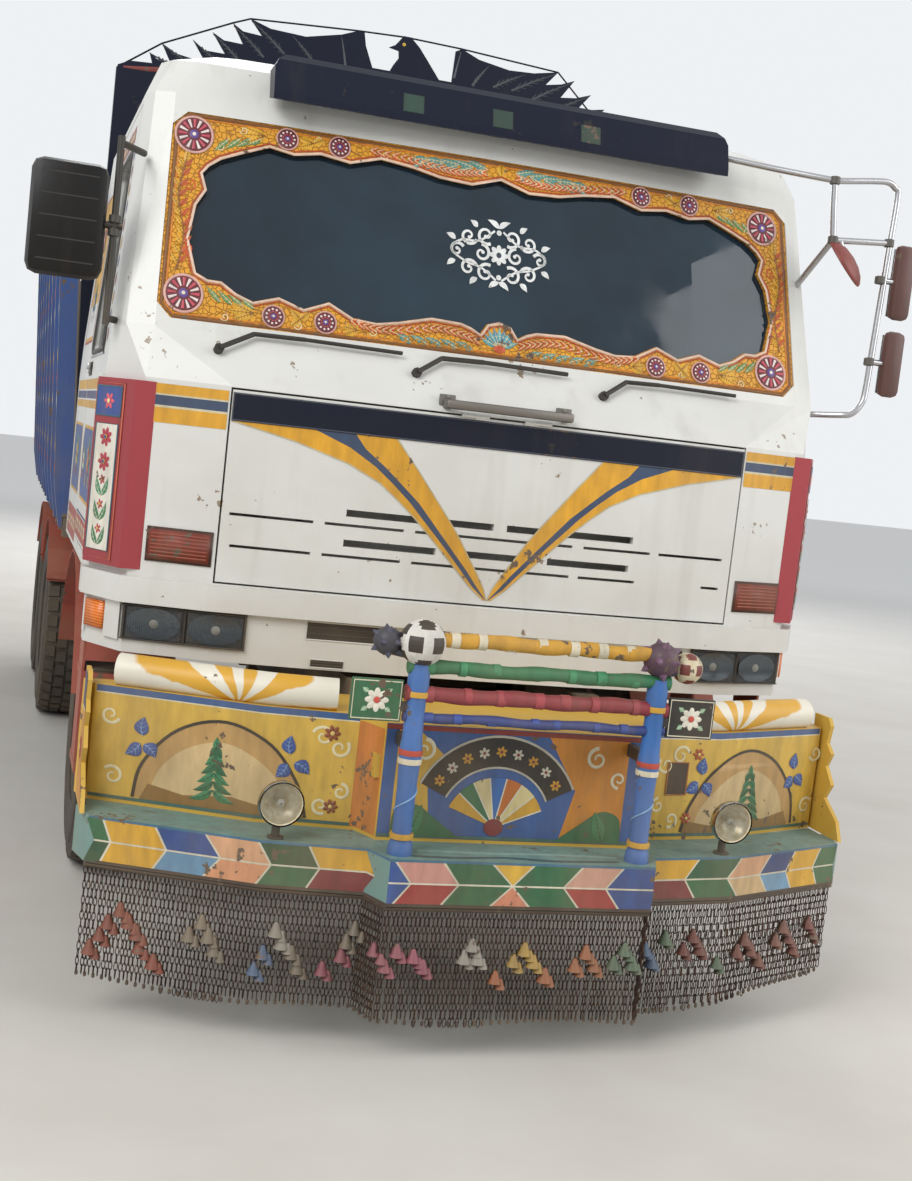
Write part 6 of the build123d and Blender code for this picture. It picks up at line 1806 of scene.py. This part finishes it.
fittings.build("chassis", "frame_black", angle=40)

# Step pads
pads = Art("step_pads")
for side in (-1, 1):
    for level in (0.588, 0.888):
        x0, x1 = span(side, 0.955, 1.20)
        pads.slab((x0, 0.315, level - 0.0005), (x1, 0.525, level + 0.002), "#4a4440")
        for n in range(9):
            y = 0.335 + 0.021 * n
            pads.slab((x0 + 0.01, y, level + 0.002), (x1 - 0.01, y + 0.009, level + 0.006), "#6a625a", 0.001)
pads.build("chassis", "guard_paint")


# Seats: crowned cushions with sewn channels and piping
s = Shade("seat_fabric")
weave = s.times(s.wave(s.x, 900.0), s.wave(s.plus(s.y, s.z), 900.0))
bands = s.ramp(s.wave(s.x, 95.0), 0.55, 0.7)
fabric = s.mix(bands, tone("#6e1f26"), tone("#b98a3a"))
fabric = s.mix(s.ramp(s.noise(12.0, 5.0), 0.4, 0.8), fabric, tone("#4b181c"))
s.bump(weave, 0.3, 0.0006)
seat_fabric = s.finish(fabric, 0.85)


def cushion(name, centre, across, along, up, channels=4, pull=0.05):
    """A closed pad with crowned faces, sides that pull in, sewn channels and a piped seam."""
    middle, across, along, up = Vector(centre), Vector(across), Vector(along), Vector(up)
    count = 30

    def place(u, v, face):
        x = u * (1 - pull * (1 - v * v) * abs(u) ** 3)
        y = v * (1 - pull * (1 - u * u) * abs(v) ** 3)
        full = max(0.0, (1 - abs(u) ** 5) * (1 - abs(v) ** 5)) ** 0.4
        dip = sum(math.exp(-(((v + 1) / 2 * channels - k) / 0.07) ** 2) for k in range(1, channels))
        high = full * (1 - 0.14 * min(1, dip) * (face > 0)) * (1 if face > 0 else 0.8)
        return middle + across * x + along * y + up * (face * high)

    pad = Art(name)
    steps = [math.sin(math.pi / 2 * (2 * n / count - 1)) for n in range(count + 1)]
    quads = grid(count + 1, count + 1)
    for face in (1, -1):
        points = [place(u, v, face) for u in steps for v in steps]
        pad.faces(points, [quad[::face] for quad in quads], seat_fabric)
    made = pad.build("chassis", "seat_cloth")
    join_doubles(made, turn_out=True)
    smooth_by_angle(made, 60)
    seam = []
    for n in range(64):
        u, v = polar((0, 0), 1, 1, 2 * math.pi * n / 64)
        reach = 1 / max(abs(u), abs(v))
        seam.append(place(u * reach, v * reach, 1))
    piping = Art(name + "_piping")
    piping.pipe(seam, 0.0055, "#c9b98a", 8, closed=True)
    piping.build("chassis", "seat_cloth", angle=50)


seat_frames = Art("seat_frames")
for side, name in both_sides:
    x = side * 0.69
    seat_frames.slab((x - 0.178, 1.045, 1.232), (x + 0.178, 1.415, 1.36), "#232323", 0.01)
    seat_frames.slab((x - 0.16, 1.06, 1.36), (x + 0.16, 1.40, 1.47), "#2e2c2a", 0.015)
    seat_frames.slab((x - 0.22, 1.0, 1.47), (x + 0.22, 1.50, 1.505), "#1e1e1e", 0.008)
    for dx in (-0.225, 0.225):
        tube = [(x + dx, 1.44, 1.49), (x + dx, 1.535, 1.62), (x + dx * 0.95, 1.655, 2.10)]
        seat_frames.pipe(tube, 0.009, "#2a2a2a", 8)
    cushion(f"seat_{name}_cushion", (x, 1.235, 1.565), (0.236, 0, 0), (0, 0.25, 0.008), (0, -0.002, 0.062))
    cushion(f"seat_{name}_back", (x, 1.578, 1.93), (0.232, 0, 0), (0, 0.062, 0.30), (0, -0.055, 0.0115), 5)
seat_frames.build("chassis", "seat_cloth", angle=40)
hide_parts("seats")


# Feathers of the crown, drawn as raised lines on both faces. Columns: tip x and height, root x and height.
feathers = (
    (-1.033, 3.282, -0.90, 3.225), (-0.982, 3.325, -0.84, 3.25), (-0.85, 3.365, -0.72, 3.275),
    (-0.768, 3.41, -0.64, 3.31), (-0.683, 3.462, -0.54, 3.35), (-0.606, 3.497, -0.45, 3.38),
    (-0.42, 3.465, -0.31, 3.36), (-0.2, 3.50, -0.17, 3.38), (0.36, 3.53, 0.34, 3.41), (0.50, 3.492, 0.43, 3.39),
    (0.68, 3.484, 0.53, 3.40), (0.832, 3.513, 0.62, 3.40), (0.915, 3.488, 0.70, 3.36), (1.005, 3.438, 0.80, 3.32),
    (1.08, 3.385, 0.88, 3.275), (1.14, 3.325, 0.95, 3.235),
)
# Bands over the crown's foot, the lower one on the back alone: drop, width, colour
foot_band, lower_band = (0.0, 0.02, "#7f2d28"), (0.03, 0.012, "#a8862f")
for face, name, plane, bands in (
    (-1, "front", 2.366, (foot_band,)), (1, "back", 2.374, (foot_band, lower_band)),
):
    crest = Art(f"crown_feathers_{name}", lambda x, z, lift: in_place(x, plane + face * lift, z))
    for x1, z1, x0, z0 in feathers:
        spine = [(x0, z0), ((x0 + x1) / 2, (z0 + z1) / 2 + 0.004), (x1, z1)]
        crest.stroke(spine, (0.011, 0.003), "#3d424c", 0.0004, 0.002)
        for k in range(5):
            t = 0.06 + 0.13 * k
            a = (x0 + (x1 - x0) * t, z0 + (z1 - z0) * t)
            for up in (-0.020, 0.020):
                end = (a[0] + (x1 - x0) * 0.14, a[1] + (z1 - z0) * 0.14 + up * (1 - t))
                crest.stroke([a, end], 0.004, "#2b3039", 0.0004, 0.001)
    for side in (-1, 1):
        for drop, wide, code in bands:
            line = [(side * x, z - drop) for x, z in ((0.22, 3.35), (0.6, 3.28), (0.95, 3.225), (1.14, 3.20))]
            crest.stroke(smooth(line), wide, code, 0.0004, 0.002)
    crest.disc((0.09, 3.517), 0.008, 0.008, "#c9a12f", 0.0006, 0.001)
    crest.build("bed", "bed_paint")
